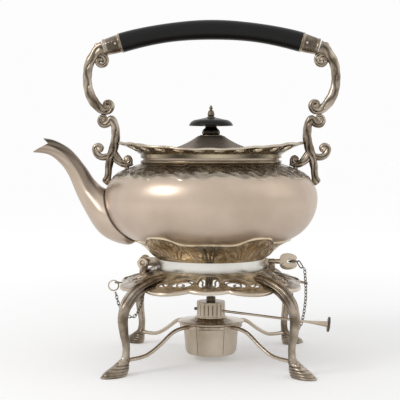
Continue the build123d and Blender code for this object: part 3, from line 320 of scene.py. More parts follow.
ebonised_wood = plain_fibre(
    "ebonised_wood", (0.003, 0.003, 0.0034), (0.011, 0.010, 0.009), 0.34, scale=(60, 900, 900)
)
cotton = plain_fibre("cotton", (0.6, 0.55, 0.45), (0.8, 0.76, 0.66), 0.9, scale=(900, 900, 120))
print("wood and cotton made")

# %% [markdown]
# ## Helpers
# Nearly every piece is one of four kinds. A turned piece is a profile spun round the kettle's axis. A bent
# piece is a ring of vertices carried along a path. A sheet is a grid that a rule puts in place, so one
# function can hold a lobed edge, relief and patina at once. A polished piece is the frame's own solid,
# merged, with its edges rounded.

# %% Finish a piece
WELD = 0.004 * MM
FINE_WELD = 0.001 * MM
COARSE_WELD = 0.01 * MM


def weld(bm, distance=WELD):
    bmesh.ops.remove_doubles(bm, verts=bm.verts, dist=distance)


def join(bm, other):
    """Adds another bmesh to this one and frees the other."""
    mesh = bpy.data.meshes.new("joined")
    other.to_mesh(mesh)
    other.free()
    bm.from_mesh(mesh)
    bpy.data.meshes.remove(mesh)


def finish_piece(bm, name, body, material, nodes=(), crease=35):
    """Cleans a bmesh, makes its object, hangs it on its body and hides the frame's nodes that it replaces."""
    weld(bm)
    bmesh.ops.recalc_face_normals(bm, faces=bm.faces)
    mesh = bpy.data.meshes.new(name)
    bm.to_mesh(mesh)
    bm.free()
    for polygon in mesh.polygons:
        polygon.use_smooth = True
    mesh.set_sharp_from_angle(angle=math.radians(crease))
    piece = bpy.data.objects.new(name, mesh)
    bpy.context.scene.collection.objects.link(piece)
    mesh.materials.append(material)
    if body:
        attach(piece, body)
    if nodes:
        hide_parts(*nodes)
    print(name, len(mesh.polygons), "faces")
    return piece


def turn_about_axis(bm, angle):
    bmesh.ops.rotate(bm, cent=(0, 0, 0), matrix=Matrix.Rotation(angle, 3, "Z"), verts=bm.verts)


# %% Turned pieces
def spin_profile(bm, profile, steps=192):
    """Spins a closed profile of (radius, height) in millimetres round the Z axis."""
    verts = [bm.verts.new((radius * MM, 0, height * MM)) for radius, height in profile]
    edges = [bm.edges.new((verts[i - 1], verts[i])) for i in range(len(verts))]
    bmesh.ops.spin(bm, geom=verts + edges, cent=(0, 0, 0), axis=(0, 0, 1), angle=math.tau, steps=steps,
                   use_merge=True)


def turned(name, body, material, profile, nodes=(), steps=192, crease=35):
    bm = bmesh.new()
    spin_profile(bm, profile, steps)
    return finish_piece(bm, name, body, material, nodes, crease)


def arc(centre, radius, start, end, count):
    """Points of an arc in the profile's plane, angles in degrees."""
    angles = [math.radians(start + (end - start) * i / count) for i in range(count + 1)]
    return [(centre[0] + radius * math.cos(a), centre[1] + radius * math.sin(a)) for a in angles]


def bead(centre, radius, count=16):
    """Closed round profile."""
    return arc(centre, radius, 0, 360, count)[:-1]


def around(radius, angle, height):
    """The point at a distance from the kettle's axis, in a direction and at a height."""
    return radius * math.cos(angle), radius * math.sin(angle), height


# %% Smooth paths
def smooth_path(points, steps=6):
    """A smooth curve through the points, which may have any number of values each."""
    ends = [points[0], *points, points[-1]]
    path = []
    for i in range(1, len(ends) - 2):
        for step in range(steps):
            t = step / steps
            weights = (
                -0.5 * t + t * t - 0.5 * t**3,
                1 - 2.5 * t * t + 1.5 * t**3,
                0.5 * t + 2 * t * t - 1.5 * t**3,
                -0.5 * t * t + 0.5 * t**3,
            )
            values = zip(*ends[i - 1:i + 3])
            path.append([sum(w * value for w, value in zip(weights, four)) for four in values])
    path.append(list(points[-1]))
    return path


def along_path(path, share):
    """The values at a share of a path's list, between its rows."""
    place = min(max(share, 0.0), 1.0) * (len(path) - 1)
    row = min(int(place), len(path) - 2)
    t = place - row
    return [a + (b - a) * t for a, b in zip(path[row], path[row + 1])]


def path_length(path):
    return sum(math.dist(a[:3], b[:3]) for a, b in zip(path, path[1:]))


def even_path(path, count):
    """The path again, with rows at even distances along it."""
    gone = [0.0]
    for a, b in zip(path, path[1:]):
        gone.append(gone[-1] + math.dist(a[:3], b[:3]))
    rows = []
    seek = 0
    for step in range(count + 1):
        want = gone[-1] * step / count
        while seek < len(path) - 2 and gone[seek + 1] < want:
            seek += 1
        t = (want - gone[seek]) / max(gone[seek + 1] - gone[seek], 1e-9)
        rows.append([a + (b - a) * t for a, b in zip(path[seek], path[seek + 1])])
    return rows


# %% Bent pieces
def path_frames(path, side, closed):
    """At each row (x, y, z, width, depth), in millimetres, the matrix that puts a unit ring across it."""
    frames = []
    side = Vector(side).normalized()
    for i, row in enumerate(path):
        before = path[i - 1] if closed else path[max(i - 1, 0)]
        after = path[(i + 1) % len(path)] if closed else path[min(i + 1, len(path) - 1)]
        along = (Vector(after[:3]) - Vector(before[:3])).normalized()
        across = (side - along * side.dot(along)).normalized()
        matrix = Matrix.Identity(4)
        matrix.col[0] = (*(across * row[3] * MM / 2), 0)
        matrix.col[1] = (*(along.cross(across) * row[4] * MM / 2), 0)
        matrix.col[2] = (*(along * MM), 0)
        matrix.col[3] = (*(Vector(row[:3]) * MM), 1)
        frames.append(matrix)
    return frames


def sweep(bm, path, side, sides=20, closed=False):
    """Carries a ring along a path; its width lies towards the side."""
    frames = path_frames(path, side, closed)
    ring = bmesh.ops.create_circle(bm, cap_ends=False, radius=1.0, segments=sides)["verts"]
    bmesh.ops.transform(bm, matrix=frames[0], verts=ring)
    first = list({edge for vert in ring for edge in vert.link_edges})
    edges = first
    for before, after in zip(frames, frames[1:]):
        made = bmesh.ops.extrude_edge_only(bm, edges=edges)["geom"]
        verts = [item for item in made if isinstance(item, bmesh.types.BMVert)]
        moved = set(verts)
        edges = [item for item in made if isinstance(item, bmesh.types.BMEdge) and set(item.verts) <= moved]
        bmesh.ops.transform(bm, matrix=after @ before.inverted(), verts=verts)
    if closed:
        bmesh.ops.bridge_loops(bm, edges=first + edges)
    else:
        bmesh.ops.holes_fill(bm, edges=first + edges, sides=sides)


# %% Sheets
LARGEST_END = 200


def sheet(bm, place, columns, rows, holes=()):
    """A grid over u and v from 0 to 1. The rule gives each point's place and its darkening, which is patina
    and, on some pieces, painted shade; holes are ellipses.
    """
    patina_and_shade = bm.verts.layers.float.get("patina_and_shade") or bm.verts.layers.float.new("patina_and_shade")
    verts = bmesh.ops.create_grid(bm, x_segments=columns, y_segments=rows, size=0.5)["verts"]
    bmesh.ops.translate(bm, vec=(0.5, 0.5, 0), verts=verts)
    for u, v, half_u, half_v in holes:
        def distance(point):
            return math.hypot((point.x - u) / half_u, (point.y - v) / half_v)
        doomed = [face for face in bm.faces if distance(face.calc_center_median()) < 1]
        rim = {vert for face in doomed for vert in face.verts}
        bmesh.ops.delete(bm, geom=doomed, context="FACES")
        for vert in rim:
            if vert.is_valid:
                far = distance(vert.co)
                vert.co.x = u + (vert.co.x - u) / far
                vert.co.y = v + (vert.co.y - v) / far
    for vert in bm.verts:
        point, dark = place(vert.co.x, vert.co.y)
        vert.co = Vector(point) * MM
        vert[patina_and_shade] = min(max(dark, 0.0), 1.0)


def sheet_piece(name, body, material, place, columns, rows, nodes=(), thickness=0.0, holes=(),
                crease=50):
    bm = bmesh.new()
    sheet(bm, place, columns, rows, holes)
    weld(bm)
    if thickness:
        bmesh.ops.solidify(bm, geom=bm.faces[:], thickness=thickness * MM)
    return finish_piece(bm, name, body, material, nodes, crease)


def capped_tube(place, columns, rows):
    """A sheet that closes on itself in u, with both its ends filled."""
    bm = bmesh.new()
    sheet(bm, place, columns, rows)
    weld(bm)
    bmesh.ops.holes_fill(bm, edges=bm.edges, sides=LARGEST_END)
    return bm


# %% Polished pieces
EDGE_ROUNDING = 0.18
FLAT_ANGLE = math.radians(0.4)
SHARP_ANGLE = math.radians(40)


def polished(name, nodes, body, material, rounding=EDGE_ROUNDING, crease=35):
    """The frame's own solids, merged, with their sharp edges rounded."""
    bm = bmesh.new()
    for node in nodes:
        bm.from_mesh(frame["nodes"][node].data)
    weld(bm, FINE_WELD)
    bmesh.ops.dissolve_limit(bm, angle_limit=FLAT_ANGLE, verts=bm.verts, edges=bm.edges)
    if rounding:
        sharp = [e for e in bm.edges if len(e.link_faces) == 2 and e.calc_face_angle() > SHARP_ANGLE]
        bmesh.ops.bevel(bm, geom=sharp, offset=rounding * MM, offset_type="OFFSET", segments=2, profile=0.5,
                        affect="EDGES", clamp_overlap=True, material=-1)
    return finish_piece(bm, name, body, material, nodes, crease)


# %% Relief
def step_up(value, low, high):
    """0 below low, 1 above high, smooth between."""
    t = min(max((value - low) / (high - low), 0.0), 1.0)
    return t * t * (3 - 2 * t)


def swell(value, centre, spread):
    """1 at the centre, and almost 0 at twice the spread from it."""
    return math.exp(-(((value - centre) / spread) ** 2))


def foliage(u, v):
    """Height of chased foliage from 0 to 1, over a unit that repeats in u."""
    turn = math.tau * u
    curl = math.sin(2 * turn + 2.2 * math.sin(3.1 * v + turn)) * math.cos(5.3 * v + 1.4 * math.sin(2 * turn))
    vein = math.sin(5 * turn + 7.0 * v + 1.5 * math.sin(turn))
    return 0.5 + 0.36 * curl + 0.14 * vein


def shell_fan(across, up, ribs=4.5):
    """Height of a scallop shell from 0 to 1; across runs from -1 to 1, and up from 0 to 1."""
    spread = max(0.25 + 0.75 * up, 0.05)
    place = across / spread
    body = step_up(1 - abs(place), 0.0, 0.25) * step_up(1.0 - up, 0.0, 0.15)
    return body * (0.7 + 0.3 * math.cos(ribs * math.tau * place / 2))


print("helpers ready")

# %% [markdown]
# ## Bowl and neck
# The bowl is one closed profile: out along the floor, up round the belly and over the shoulder into the
# neck, then back down inside with a wall's thickness. The frame's boxes give the belly, the floor and the
# neck's top. Where the spout joins, faces are taken out and the rim is pulled onto an ellipse.

# %% Bowl
bowl_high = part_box("bowl")[1]
neck_low, neck_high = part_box("neck")
FLOOR_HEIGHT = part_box("bowl_floor")[0].z / MM
NECK_BASE = neck_low.z / MM
NECK_TOP = neck_high.z / MM
NECK_RADIUS = neck_high.y / MM
BELLY_RADIUS = bowl_high.y / MM
LOWER_BEND = 43.5
UPPER_BEND = 30.0
SHOULDER_TURN = 70.0
BOWL_WALL = 1.5
BOWL_STEPS = 240
LOWER_CENTRE = BELLY_RADIUS - LOWER_BEND
UPPER_CENTRE = BELLY_RADIUS - UPPER_BEND
BELLY_HEIGHT = FLOOR_HEIGHT + LOWER_BEND
SPOUT_HOLE_HEIGHT = 143.5
SPOUT_HOLE_HALF = (27.0, 22.5)


def bowl_profile(inset):
    """The bowl's side from the floor's edge to the neck's top, moved inwards by a wall."""
    lower = arc((LOWER_CENTRE, BELLY_HEIGHT), LOWER_BEND - inset, -90, 0, 32)
    upper = arc((UPPER_CENTRE, BELLY_HEIGHT), UPPER_BEND - inset, 0, SHOULDER_TURN, 20)
    neck = NECK_RADIUS - inset
    base = upper[-1][1] + (upper[-1][0] - neck) * math.tan(math.radians(90 - SHOULDER_TURN))
    return lower + upper[1:] + [(neck, base), (neck, NECK_TOP)]


def belly_radius_at(height, inset=0.0):
    """Radius of the bowl below its shoulder line at a height."""
    rise = height - BELLY_HEIGHT
    bend, centre = (LOWER_BEND, LOWER_CENTRE) if rise < 0 else (UPPER_BEND, UPPER_CENTRE)
    return centre + math.sqrt(max((bend - inset) ** 2 - rise * rise, 0.0))


def hole_distance(point):
    """Below 1 inside the ellipse where the spout joins."""
    rise = point.z / MM - SPOUT_HOLE_HEIGHT
    return math.hypot(point.y / MM / SPOUT_HOLE_HALF[0], rise / SPOUT_HOLE_HALF[1])


def in_spout_hole(face):
    middle = face.calc_center_median()
    return middle.x < 0 and hole_distance(middle) < 1


# %% Bowl wall
NECK_PAINTED_SHADE = 0.72
bm = bmesh.new()
outer_side = bowl_profile(0)
inner_side = bowl_profile(BOWL_WALL)
wall_profile = [(0.0, FLOOR_HEIGHT)] + outer_side + inner_side[::-1] + [(0.0, FLOOR_HEIGHT + BOWL_WALL)]
spin_profile(bm, wall_profile, BOWL_STEPS)
weld(bm, COARSE_WELD)
doomed = [face for face in bm.faces if in_spout_hole(face)]
rim = {vert for face in doomed for vert in face.verts}
bmesh.ops.delete(bm, geom=doomed, context="FACES")
for vert in [vert for vert in rim if vert.is_valid]:
    inside = math.hypot(vert.co.x, vert.co.y) / MM < belly_radius_at(vert.co.z / MM) - BOWL_WALL / 2
    far = hole_distance(vert.co)
    vert.co.y /= far
    vert.co.z = (SPOUT_HOLE_HEIGHT + (vert.co.z / MM - SPOUT_HOLE_HEIGHT) / far) * MM
    radius = belly_radius_at(vert.co.z / MM, BOWL_WALL if inside else 0.0) * MM
    vert.co.x = -math.sqrt(radius**2 - vert.co.y**2)
bmesh.ops.bridge_loops(bm, edges=[edge for edge in bm.edges if edge.is_boundary])
patina_and_shade = bm.verts.layers.float.new("patina_and_shade")
# Painted shade: the neck above its moulding is darkened where it sits under the gallery's flare.
for vert in bm.verts:
    vert[patina_and_shade] = NECK_PAINTED_SHADE * step_up(vert.co.z / MM, NECK_BASE, NECK_BASE + 1.0)
finish_piece(bm, "bowl_shell", "kettle", satin_silver, ["bowl", "bowl_floor", "neck"])

# %% Neck moulding
MOULDING_RADIUS = 1.8
moulding_profile = bead((NECK_RADIUS + 0.9, NECK_BASE + 1.2), MOULDING_RADIUS)
turned("neck_moulding", "kettle", brown_silver, moulding_profile, ["neck_bead"], BOWL_STEPS)

# %% [markdown]
# ## Chased shoulder
# A band of chased foliage runs round the shoulder under the neck. It is a sheet that lies a hair above the
# bowl. Its lower edge waves with the leaf tips, and the patina grows where the relief is low, so that the
# leaves stand out from a dark ground as on old plate.

# %% Shoulder band
BAND_START = 41.0
BAND_UNITS = 11
BAND_LIFT = 0.05
BAND_RELIEF = 0.75
BAND_TOP_GAP = 2.0
LEAF_TIP = 0.11
LEAF_SERRATION = 0.04
LOWER_FADE = 0.06
UPPER_FADE = 0.05


def shoulder_point(share, lift):
    """A point of the shoulder's side: share 0 on the arc, 1 at the neck, lifted off the bowl."""
    arc_length = math.radians(SHOULDER_TURN - BAND_START) * UPPER_BEND
    end_angle = math.radians(SHOULDER_TURN)
    end = (UPPER_CENTRE + UPPER_BEND * math.cos(end_angle), BELLY_HEIGHT + UPPER_BEND * math.sin(end_angle))
    run = (end[0] - NECK_RADIUS - BAND_TOP_GAP) / math.sin(end_angle)
    gone = share * (arc_length + run)
    if gone < arc_length:
        angle = math.radians(BAND_START) + gone / UPPER_BEND
        reach = UPPER_BEND + lift
        return UPPER_CENTRE + reach * math.cos(angle), BELLY_HEIGHT + reach * math.sin(angle)
    gone -= arc_length
    return (
        end[0] - gone * math.sin(end_angle) + lift * math.cos(end_angle),
        end[1] + gone * math.cos(end_angle) + lift * math.sin(end_angle),
    )


def shoulder_rule(u, v):
    """v is 0 at the leaf tips and 1 at the neck."""
    wave = LEAF_TIP * (1 - abs(math.cos(math.pi * BAND_UNITS * u)))
    wave += LEAF_SERRATION * math.cos(math.tau * BAND_UNITS * 3 * u)
    share = max(wave + (1 - wave) * v, 0.0)
    height = foliage(BAND_UNITS * u, 2.4 * v)
    fade = step_up(v, 0.0, LOWER_FADE) * step_up(1 - v, 0.0, UPPER_FADE)
    radius, z = shoulder_point(share, BAND_LIFT + BAND_RELIEF * height * fade)
    dark = (0.36 + 0.3 * (1 - height)) * step_up(v, 0.0, 0.12)
    return around(radius, math.tau * u, z), dark


sheet_piece("shoulder_chasing", "kettle", bright_silver, shoulder_rule, columns=640, rows=26)

# %% [markdown]
# ## The spout
# The swan neck is a ring that shrinks from the bowl to the beak, with a flat top and a crease at each side.
# Each line of the sheet starts where it leaves the bowl and ends where it meets the slanting mouth, so both
# ends fit without any cutting. Inner and outer skins are bridged into one wall.

# %% Spout stations
# Each row gives the top and the bottom, as distance from the belly and height above the floor, and the width.
SPOUT_STATIONS = [
    ((-32.0, 43.5), (-36.0, 4.5), 54.0),
    ((-16.0, 50.0), (-22.0, -3.6), 61.0),
    ((0.0, 53.0), (4.5, 7.5), 54.0),
    ((10.5, 61.0), (24.5, 38.0), 29.0),
    ((21.0, 76.0), (37.5, 67.0), 18.5),
    ((35.0, 92.0), (47.5, 80.0), 16.5),
    ((51.0, 101.1), (58.0, 87.1), 15.5),
    ((64.0, 103.5), (72.5, 89.1), 14.5),
]
SPOUT_WALL = 1.2
SPOUT_CREASE = 0.6
MOUTH_NOTCH = (56.5, 98.1)
MOUTH_UPPER_LIP = (61.6, 102.5)
MOUTH_LOWER_LIP = (72.0, 90.1)
SPOUT_COLUMNS = 96
SPOUT_ROWS = 70
ROOT_SEARCH = (0.05, 0.6)
MOUTH_SEARCH = (0.7, 1.0)
SEARCH_STEPS = 24
# Painted shade on the spout's inner skin.
INSIDE_PAINTED_SHADE = 0.3
spout_path = smooth_path([(*top, *bottom, width) for top, bottom, width in SPOUT_STATIONS], 16)
print("spout", round(path_length([row[2:4] for row in spout_path])), "mm along its lower line")


def spout_point(share, angle, wall):
    """A point of the spout's skin: share along it, angle round it from the top."""
    top_x, top_z, bottom_x, bottom_z, width = along_path(spout_path, share)
    middle = Vector(((top_x + bottom_x) / 2, 0, (top_z + bottom_z) / 2))
    upright = Vector((top_x - bottom_x, 0, top_z - bottom_z))
    depth = upright.length / 2 - wall
    across = math.sin(angle)
    up = math.cos(angle)
    if up > 0:
        up = SPOUT_CREASE * up if abs(across) > 0.999 else up * SPOUT_CREASE + (1 - SPOUT_CREASE) * up * up
    point = middle + upright.normalized() * up * depth
    return Vector((-BELLY_RADIUS - point.x, across * (width / 2 - wall), FLOOR_HEIGHT + point.z))


def inside_bowl(point):
    """True where a point of the spout would lie inside the bowl's outer skin."""
    radius = math.hypot(point.x, point.y)
    if radius < LOWER_CENTRE:
        return point.z > FLOOR_HEIGHT
    bend, centre = (LOWER_BEND, LOWER_CENTRE) if point.z < BELLY_HEIGHT else (UPPER_BEND, UPPER_CENTRE)
    return math.hypot(radius - centre, point.z - BELLY_HEIGHT) < bend


def past_mouth(point):
    """True beyond the lips, which stand forward of the notch above and below."""
    reach, rise = -point.x - BELLY_RADIUS, point.z - FLOOR_HEIGHT
    lip = MOUTH_UPPER_LIP if rise > MOUTH_NOTCH[1] else MOUTH_LOWER_LIP
    share = (rise - MOUTH_NOTCH[1]) / (lip[1] - MOUTH_NOTCH[1])
    return reach > MOUTH_NOTCH[0] + share * (lip[0] - MOUTH_NOTCH[0])


# %% Spout ends
def find_change(test, low, high):
    """The share between low and high where a test stops being what it is at low."""
    first = test(low)
    for _ in range(SEARCH_STEPS):
        middle = (low + high) / 2
        if test(middle) == first:
            low = middle
        else:
            high = middle
    return (low + high) / 2


def spout_rule(wall):
    """The rule for one skin, which trims each of its lines at the bowl and at the mouth."""
    spans = {}

    def rule(u, v):
        angle = math.tau * u
        key = round(u, 5)
        if key not in spans:
            start = find_change(lambda s: inside_bowl(spout_point(s, angle, wall)), *ROOT_SEARCH)
            end = find_change(lambda s: past_mouth(spout_point(s, angle, wall)), *MOUTH_SEARCH)
            spans[key] = start, end
        start, end = spans[key]
        point = spout_point(start + (end - start) * v, angle, wall)
        # Painted reflection: dark along the top and in bands that grow towards the mouth. The dark line at
        # the root is the joint itself.
        top = step_up(math.cos(angle), 0.12, 0.32) * step_up(v, 0.05, 0.3)
        reflection_bands = 0.5 + 0.5 * math.sin(9 * angle + 14 * v)
        seam = step_up(0.03 - v, 0.0, 0.02)
        dark = 0.95 * seam + 0.5 * top + (0.2 + 0.25 * reflection_bands) * step_up(v, 0.3, 0.9)
        return point, dark if wall == 0 else INSIDE_PAINTED_SHADE
    return rule


# %% Spout wall
ROOT_WITHIN = 20
MOUTH_BEYOND = 40
bm = bmesh.new()
sheet(bm, spout_rule(0.0), SPOUT_COLUMNS, SPOUT_ROWS)
inner = bmesh.new()
sheet(inner, spout_rule(SPOUT_WALL), SPOUT_COLUMNS, SPOUT_ROWS)
join(bm, inner)
weld(bm, COARSE_WELD)
edges = [edge for edge in bm.edges if edge.is_boundary]
root_edges = [edge for edge in edges if edge.verts[0].co.x > -(BELLY_RADIUS + ROOT_WITHIN) * MM]
mouth_edges = [edge for edge in edges if edge.verts[0].co.x < -(BELLY_RADIUS + MOUTH_BEYOND) * MM]
bmesh.ops.bridge_loops(bm, edges=root_edges)
bmesh.ops.bridge_loops(bm, edges=mouth_edges)
finish_piece(bm, "spout_shell", "kettle", satin_silver, ["spout"], crease=60)

# %% [markdown]
# ## Kettle foot
# The foot is a chased mount with a lobed edge that hugs the bowl. Two shells in front and two behind rise
# onto the bowl, a dark leaf faces each side, and leafy flutes fill the rest. One rule gives the side's
# curve, the relief and its patina, so that the dark lies exactly in the hollows.

# %% Kettle foot
FOOT_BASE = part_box("kettle_foot")[0].z / MM
FOOT_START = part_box("foot_band")[1].y / MM
FOOT_SIDE = [
    (FOOT_START, FOOT_BASE),
    (60.0, FOOT_BASE + 6.0),
    (66.0, FOOT_BASE + 12.2),
    (73.0, FOOT_BASE + 16.6),
]
FOOT_REACH = 78.0
FOOT_LOBES = 12
LOBE_DEPTH = 1.6
EDGE_GAP = 0.9
SHELL_PLACES = (0.155, 0.345)
SHELL_WIDTH = 0.036
SHELL_REACH = 10.5
SHELL_RELIEF = 2.6
LEAF_WIDTH = 0.022
LEAF_RELIEF = 1.3
FLUTE_RELIEF = 1.1
LIP_START = 0.93
LIP_RISE = 2.4
RELIEF_OUT = 0.6
RELIEF_DOWN = 0.8


def bowl_underside(radius):
    """Height of the bowl's outer skin below the belly."""
    return BELLY_HEIGHT - math.sqrt(LOWER_BEND**2 - max(radius - LOWER_CENTRE, 0.0) ** 2)


def near_quarter(u, offset):
    """Signed distance in turns to the nearest of four equal places round the axis."""
    return (u - offset + 0.125) % 0.25 - 0.125


def near_half(u, offset):
    """Signed distance in turns to the nearer of two opposite places."""
    return (u - offset + 0.25) % 0.5 - 0.25


def foot_rule(u, v):
    """v is 0 at the foot band and 1 at the edge on the bowl."""
    lobe = abs(math.cos(math.pi * FOOT_LOBES * u))
    corner = min((near_half(u, place) for place in SHELL_PLACES), key=abs) / SHELL_WIDTH
    side = near_quarter(u, 0.0) / LEAF_WIDTH
    reach = FOOT_REACH + LOBE_DEPTH * lobe + SHELL_REACH * math.exp(-(corner**4))
    side_path = smooth_path([*FOOT_SIDE, (reach, bowl_underside(reach) - EDGE_GAP)], 5)
    lip = step_up(v, LIP_START, 1.0)
    radius, z = along_path(side_path, v / LIP_START)
    shell = shell_fan(corner / 1.5, min(v * 1.1, 1.0)) if abs(corner) < 1.5 else 0.0
    leaf = shell_fan(side / 1.7, v, 4.0) if abs(side) < 1.7 else 0.0
    flute = foliage(FOOT_LOBES * u, 2.2 * v)
    relief = max(SHELL_RELIEF * shell, LEAF_RELIEF * leaf, FLUTE_RELIEF * flute) * step_up(v, 0.05, 0.2)
    drop = -relief * (1 - lip)
    radius += relief * RELIEF_OUT * (1 - lip)
    z += drop * RELIEF_DOWN + LIP_RISE * lip
    dark = 0.34 * (1 - max(shell, 0.8 * flute)) * step_up(v, 0.08, 0.25) * (1 - lip)
    dark = max(dark, 1.5 * leaf * (1.35 - leaf))
    return around(radius, math.tau * u, z), dark


sheet_piece("kettle_foot_mount", "kettle", gilded_silver, foot_rule, 720, 44, ["kettle_foot"],
            thickness=0.5)
polished("plain_foot_band", ["foot_band"], "kettle", pale_band)

# %% [markdown]
# ## Gallery
# The gallery is a thin flared sheet from the neck to a lobed rim, pierced between its leaves, with a little
# scroll and a leaf in each opening. Its outline is an ellipse with twelve lobes, and its side slope is the
# same all round, so the rim stands higher at the handle than at the front. A moulded wire follows the rim.

# %% Gallery outline
gallery_low, gallery_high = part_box("gallery")
GALLERY_SIDE = gallery_high.x / MM
GALLERY_FRONT = gallery_high.y / MM
GALLERY_BASE = gallery_low.z / MM
GALLERY_TOP = gallery_high.z / MM
GALLERY_LOBES = 12
GALLERY_PIERCINGS = 24
GALLERY_LOBE_DEPTH = 2.8
RIM_INSET = 1.0
NECK_STEP = 1.3
WIRE_DROP = 0.9
LOBE_WAVE = 0.9
LEAF_WAVE = 0.35
COLLAR_TOP = NECK_TOP + 0.3
SLOPE = (GALLERY_TOP - COLLAR_TOP) / (GALLERY_SIDE - NECK_RADIUS)


def gallery_outline(u):
    """Distance from the axis to the rim: an ellipse with lobes."""
    angle = math.tau * u
    depth = GALLERY_LOBE_DEPTH * (1 - abs(math.sin(GALLERY_LOBES / 2 * angle)))
    half_side = GALLERY_SIDE - RIM_INSET - depth
    half_front = GALLERY_FRONT - RIM_INSET - depth
    return math.hypot(half_side * math.cos(angle), half_front * math.sin(angle))


print("gallery reaches", round(gallery_outline(0.0), 1), "and", round(gallery_outline(0.25), 1), "mm")


def ring_path(outline, height, count, width, depth):
    """A closed path round the axis, from rules for its distance out and its height."""
    rows = []
    for step in range(count):
        u = step / count
        radius = outline(u)
        rows.append((*around(radius, math.tau * u, height(u, radius)), width, depth))
    return rows


def gallery_wire_height(u, radius):
    """Height of the rim's wire, which waves with the lobes and with the leaves."""
    height = COLLAR_TOP - WIRE_DROP + SLOPE * (radius - NECK_RADIUS - NECK_STEP)
    height += LOBE_WAVE * math.cos(math.tau * GALLERY_LOBES * u)
    return height + LEAF_WAVE * math.cos(math.tau * GALLERY_PIERCINGS * u)


# %% Gallery rule
COLLAR_SHARE = 0.16
COLLAR_DROP = 1.2
FLARE_SWELL = 0.9
GALLERY_RELIEF = 0.7


def gallery_rule(u, v):
    """A straight collar on the neck, then the flare, whose edge meets the wire."""
    angle = math.tau * u
    reach = gallery_outline(u)
    if v < COLLAR_SHARE:
        radius = NECK_RADIUS + NECK_STEP
        z = GALLERY_BASE + (COLLAR_TOP - COLLAR_DROP - GALLERY_BASE) * v / COLLAR_SHARE
    else:
        share = (v - COLLAR_SHARE) / (1 - COLLAR_SHARE)
        radius = NECK_RADIUS + NECK_STEP + (reach - NECK_RADIUS - NECK_STEP) * share
        z = COLLAR_TOP - COLLAR_DROP + SLOPE * (radius - NECK_RADIUS - NECK_STEP)
        z += FLARE_SWELL * math.sin(math.pi * share)
        flare = SLOPE * (reach - NECK_RADIUS - NECK_STEP)
        z += share**2 * (gallery_wire_height(u, reach) - COLLAR_TOP + WIRE_DROP - flare)
    height = foliage(GALLERY_PIERCINGS * u, 3.0 * v)
    relief = GALLERY_RELIEF * height * step_up(v, 0.2, 0.35) * step_up(1 - v, 0.0, 0.08)
    z += relief * 0.7
    radius -= relief * 0.3
    # Painted reflection: the collar's dark, waving six times round the neck. The flare's dark lies in the
    # hollows of its relief.
    if v < COLLAR_SHARE:
        dark = 0.66 + 0.3 * math.sin(6 * angle + 0.9)
    else:
        dark = 0.35 + 0.45 * (1 - height)
    return around(radius, angle, z), dark


# %% Gallery openings and rim
OPENING_MIDDLE = 0.62
OPENING_HALF = (0.0128, 0.23)
holes = [((i + 0.5) / GALLERY_PIERCINGS, OPENING_MIDDLE, *OPENING_HALF) for i in range(GALLERY_PIERCINGS)]
# Points of the scroll and the leaf, as shares of an opening's half width and half length.
GALLERY_SCROLL = [(-0.95, 0.1), (-0.35, -0.5), (0.3, -0.35), (0.45, 0.2), (0.1, 0.45), (-0.15, 0.2)]
GALLERY_LEAF = [(0.75, -0.75), (0.8, 0.0), (0.35, 0.95)]
SCROLL_DROP = 0.3
SCROLL_WIDTH = 1.2
SCROLL_DEPTH = 1.5
GALLERY_THICKNESS = 0.9
WIRE_STEPS = 576
WIRE_WIDTH = 2.4
WIRE_DEPTH = 1.9
bm = bmesh.new()
for u, v, half_u, half_v in holes:
    for curve in (GALLERY_SCROLL, GALLERY_LEAF):
        rows = []
        for across, out in smooth_path(curve, 6):
            point, _ = gallery_rule(u + across * half_u, v + out * half_v)
            rows.append((point[0], point[1], point[2] - SCROLL_DROP, SCROLL_WIDTH, SCROLL_DEPTH))
        sweep(bm, rows, (0, 0, 1), 8)
finish_piece(bm, "gallery_scrolls", "kettle", gilded_silver, crease=60)
sheet_piece("gallery_rim", "kettle", gilded_silver, gallery_rule, 960, 30, ["gallery"],
            thickness=-GALLERY_THICKNESS, holes=holes)
bm = bmesh.new()
gallery_edge = ring_path(gallery_outline, gallery_wire_height, WIRE_STEPS, WIRE_WIDTH, WIRE_DEPTH)
sweep(bm, gallery_edge, (0, 0, 1), 12, closed=True)
finish_piece(bm, "gallery_wire", "kettle", bright_silver)

# %% [markdown]
# ## Lid and finial
# The lid keeps the frame's own solid, because its notch fits the hinge, and gains two turned mouldings. The
# finial's collar has eight leaves, its disc droops to a pointed rim, and a knop and spire finish it.

# %% Lid
LID_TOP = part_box("lid")[1].z / MM
FLANGE_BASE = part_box("lid")[0].z / MM
RIM_BEAD_RADIUS = 1.3
RIM_BEAD_PLACE = (57.5, FLANGE_BASE + 2.0)
TOP_BEAD_RADIUS = 0.9
TOP_BEAD_PLACE = (10.6, LID_TOP + 0.1)
polished("lid_dome", ["lid", "lid_bezel"], "lid", lid_silver, rounding=0.0)
turned("lid_moulding", "lid", bright_silver, bead(RIM_BEAD_PLACE, RIM_BEAD_RADIUS), steps=192)
turned("lid_collar_moulding", "lid", dark_silver, bead(TOP_BEAD_PLACE, TOP_BEAD_RADIUS), steps=96)

# %% Finial
disc_low, disc_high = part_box("finial_disc")
DISC_RADIUS = disc_high.x / MM
DISC_BASE = disc_low.z / MM + 0.8
DISC_TOP = disc_high.z / MM
SPIRE_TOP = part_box("finial_stud")[1].z / MM
COLLAR_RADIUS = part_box("finial_collar")[1].y / MM


def collar_rule(u, v):
    """Eight leaves under a rolled edge, with a waist below the disc."""
    angle = math.tau * u
    leaf = abs(math.cos(4 * angle))
    roll = swell(v, 0.3, 0.26)
    waist = 0.22 * step_up(v, 0.5, 0.8) + 0.1 * step_up(0.12 - v, 0.0, 0.12)
    radius = COLLAR_RADIUS * (0.86 + 0.08 * roll + 0.06 * leaf * roll - waist)
    z = LID_TOP + 0.02 + (DISC_BASE - LID_TOP) * v
    return around(radius, angle, z), 0.75 + 0.25 * (1 - leaf)


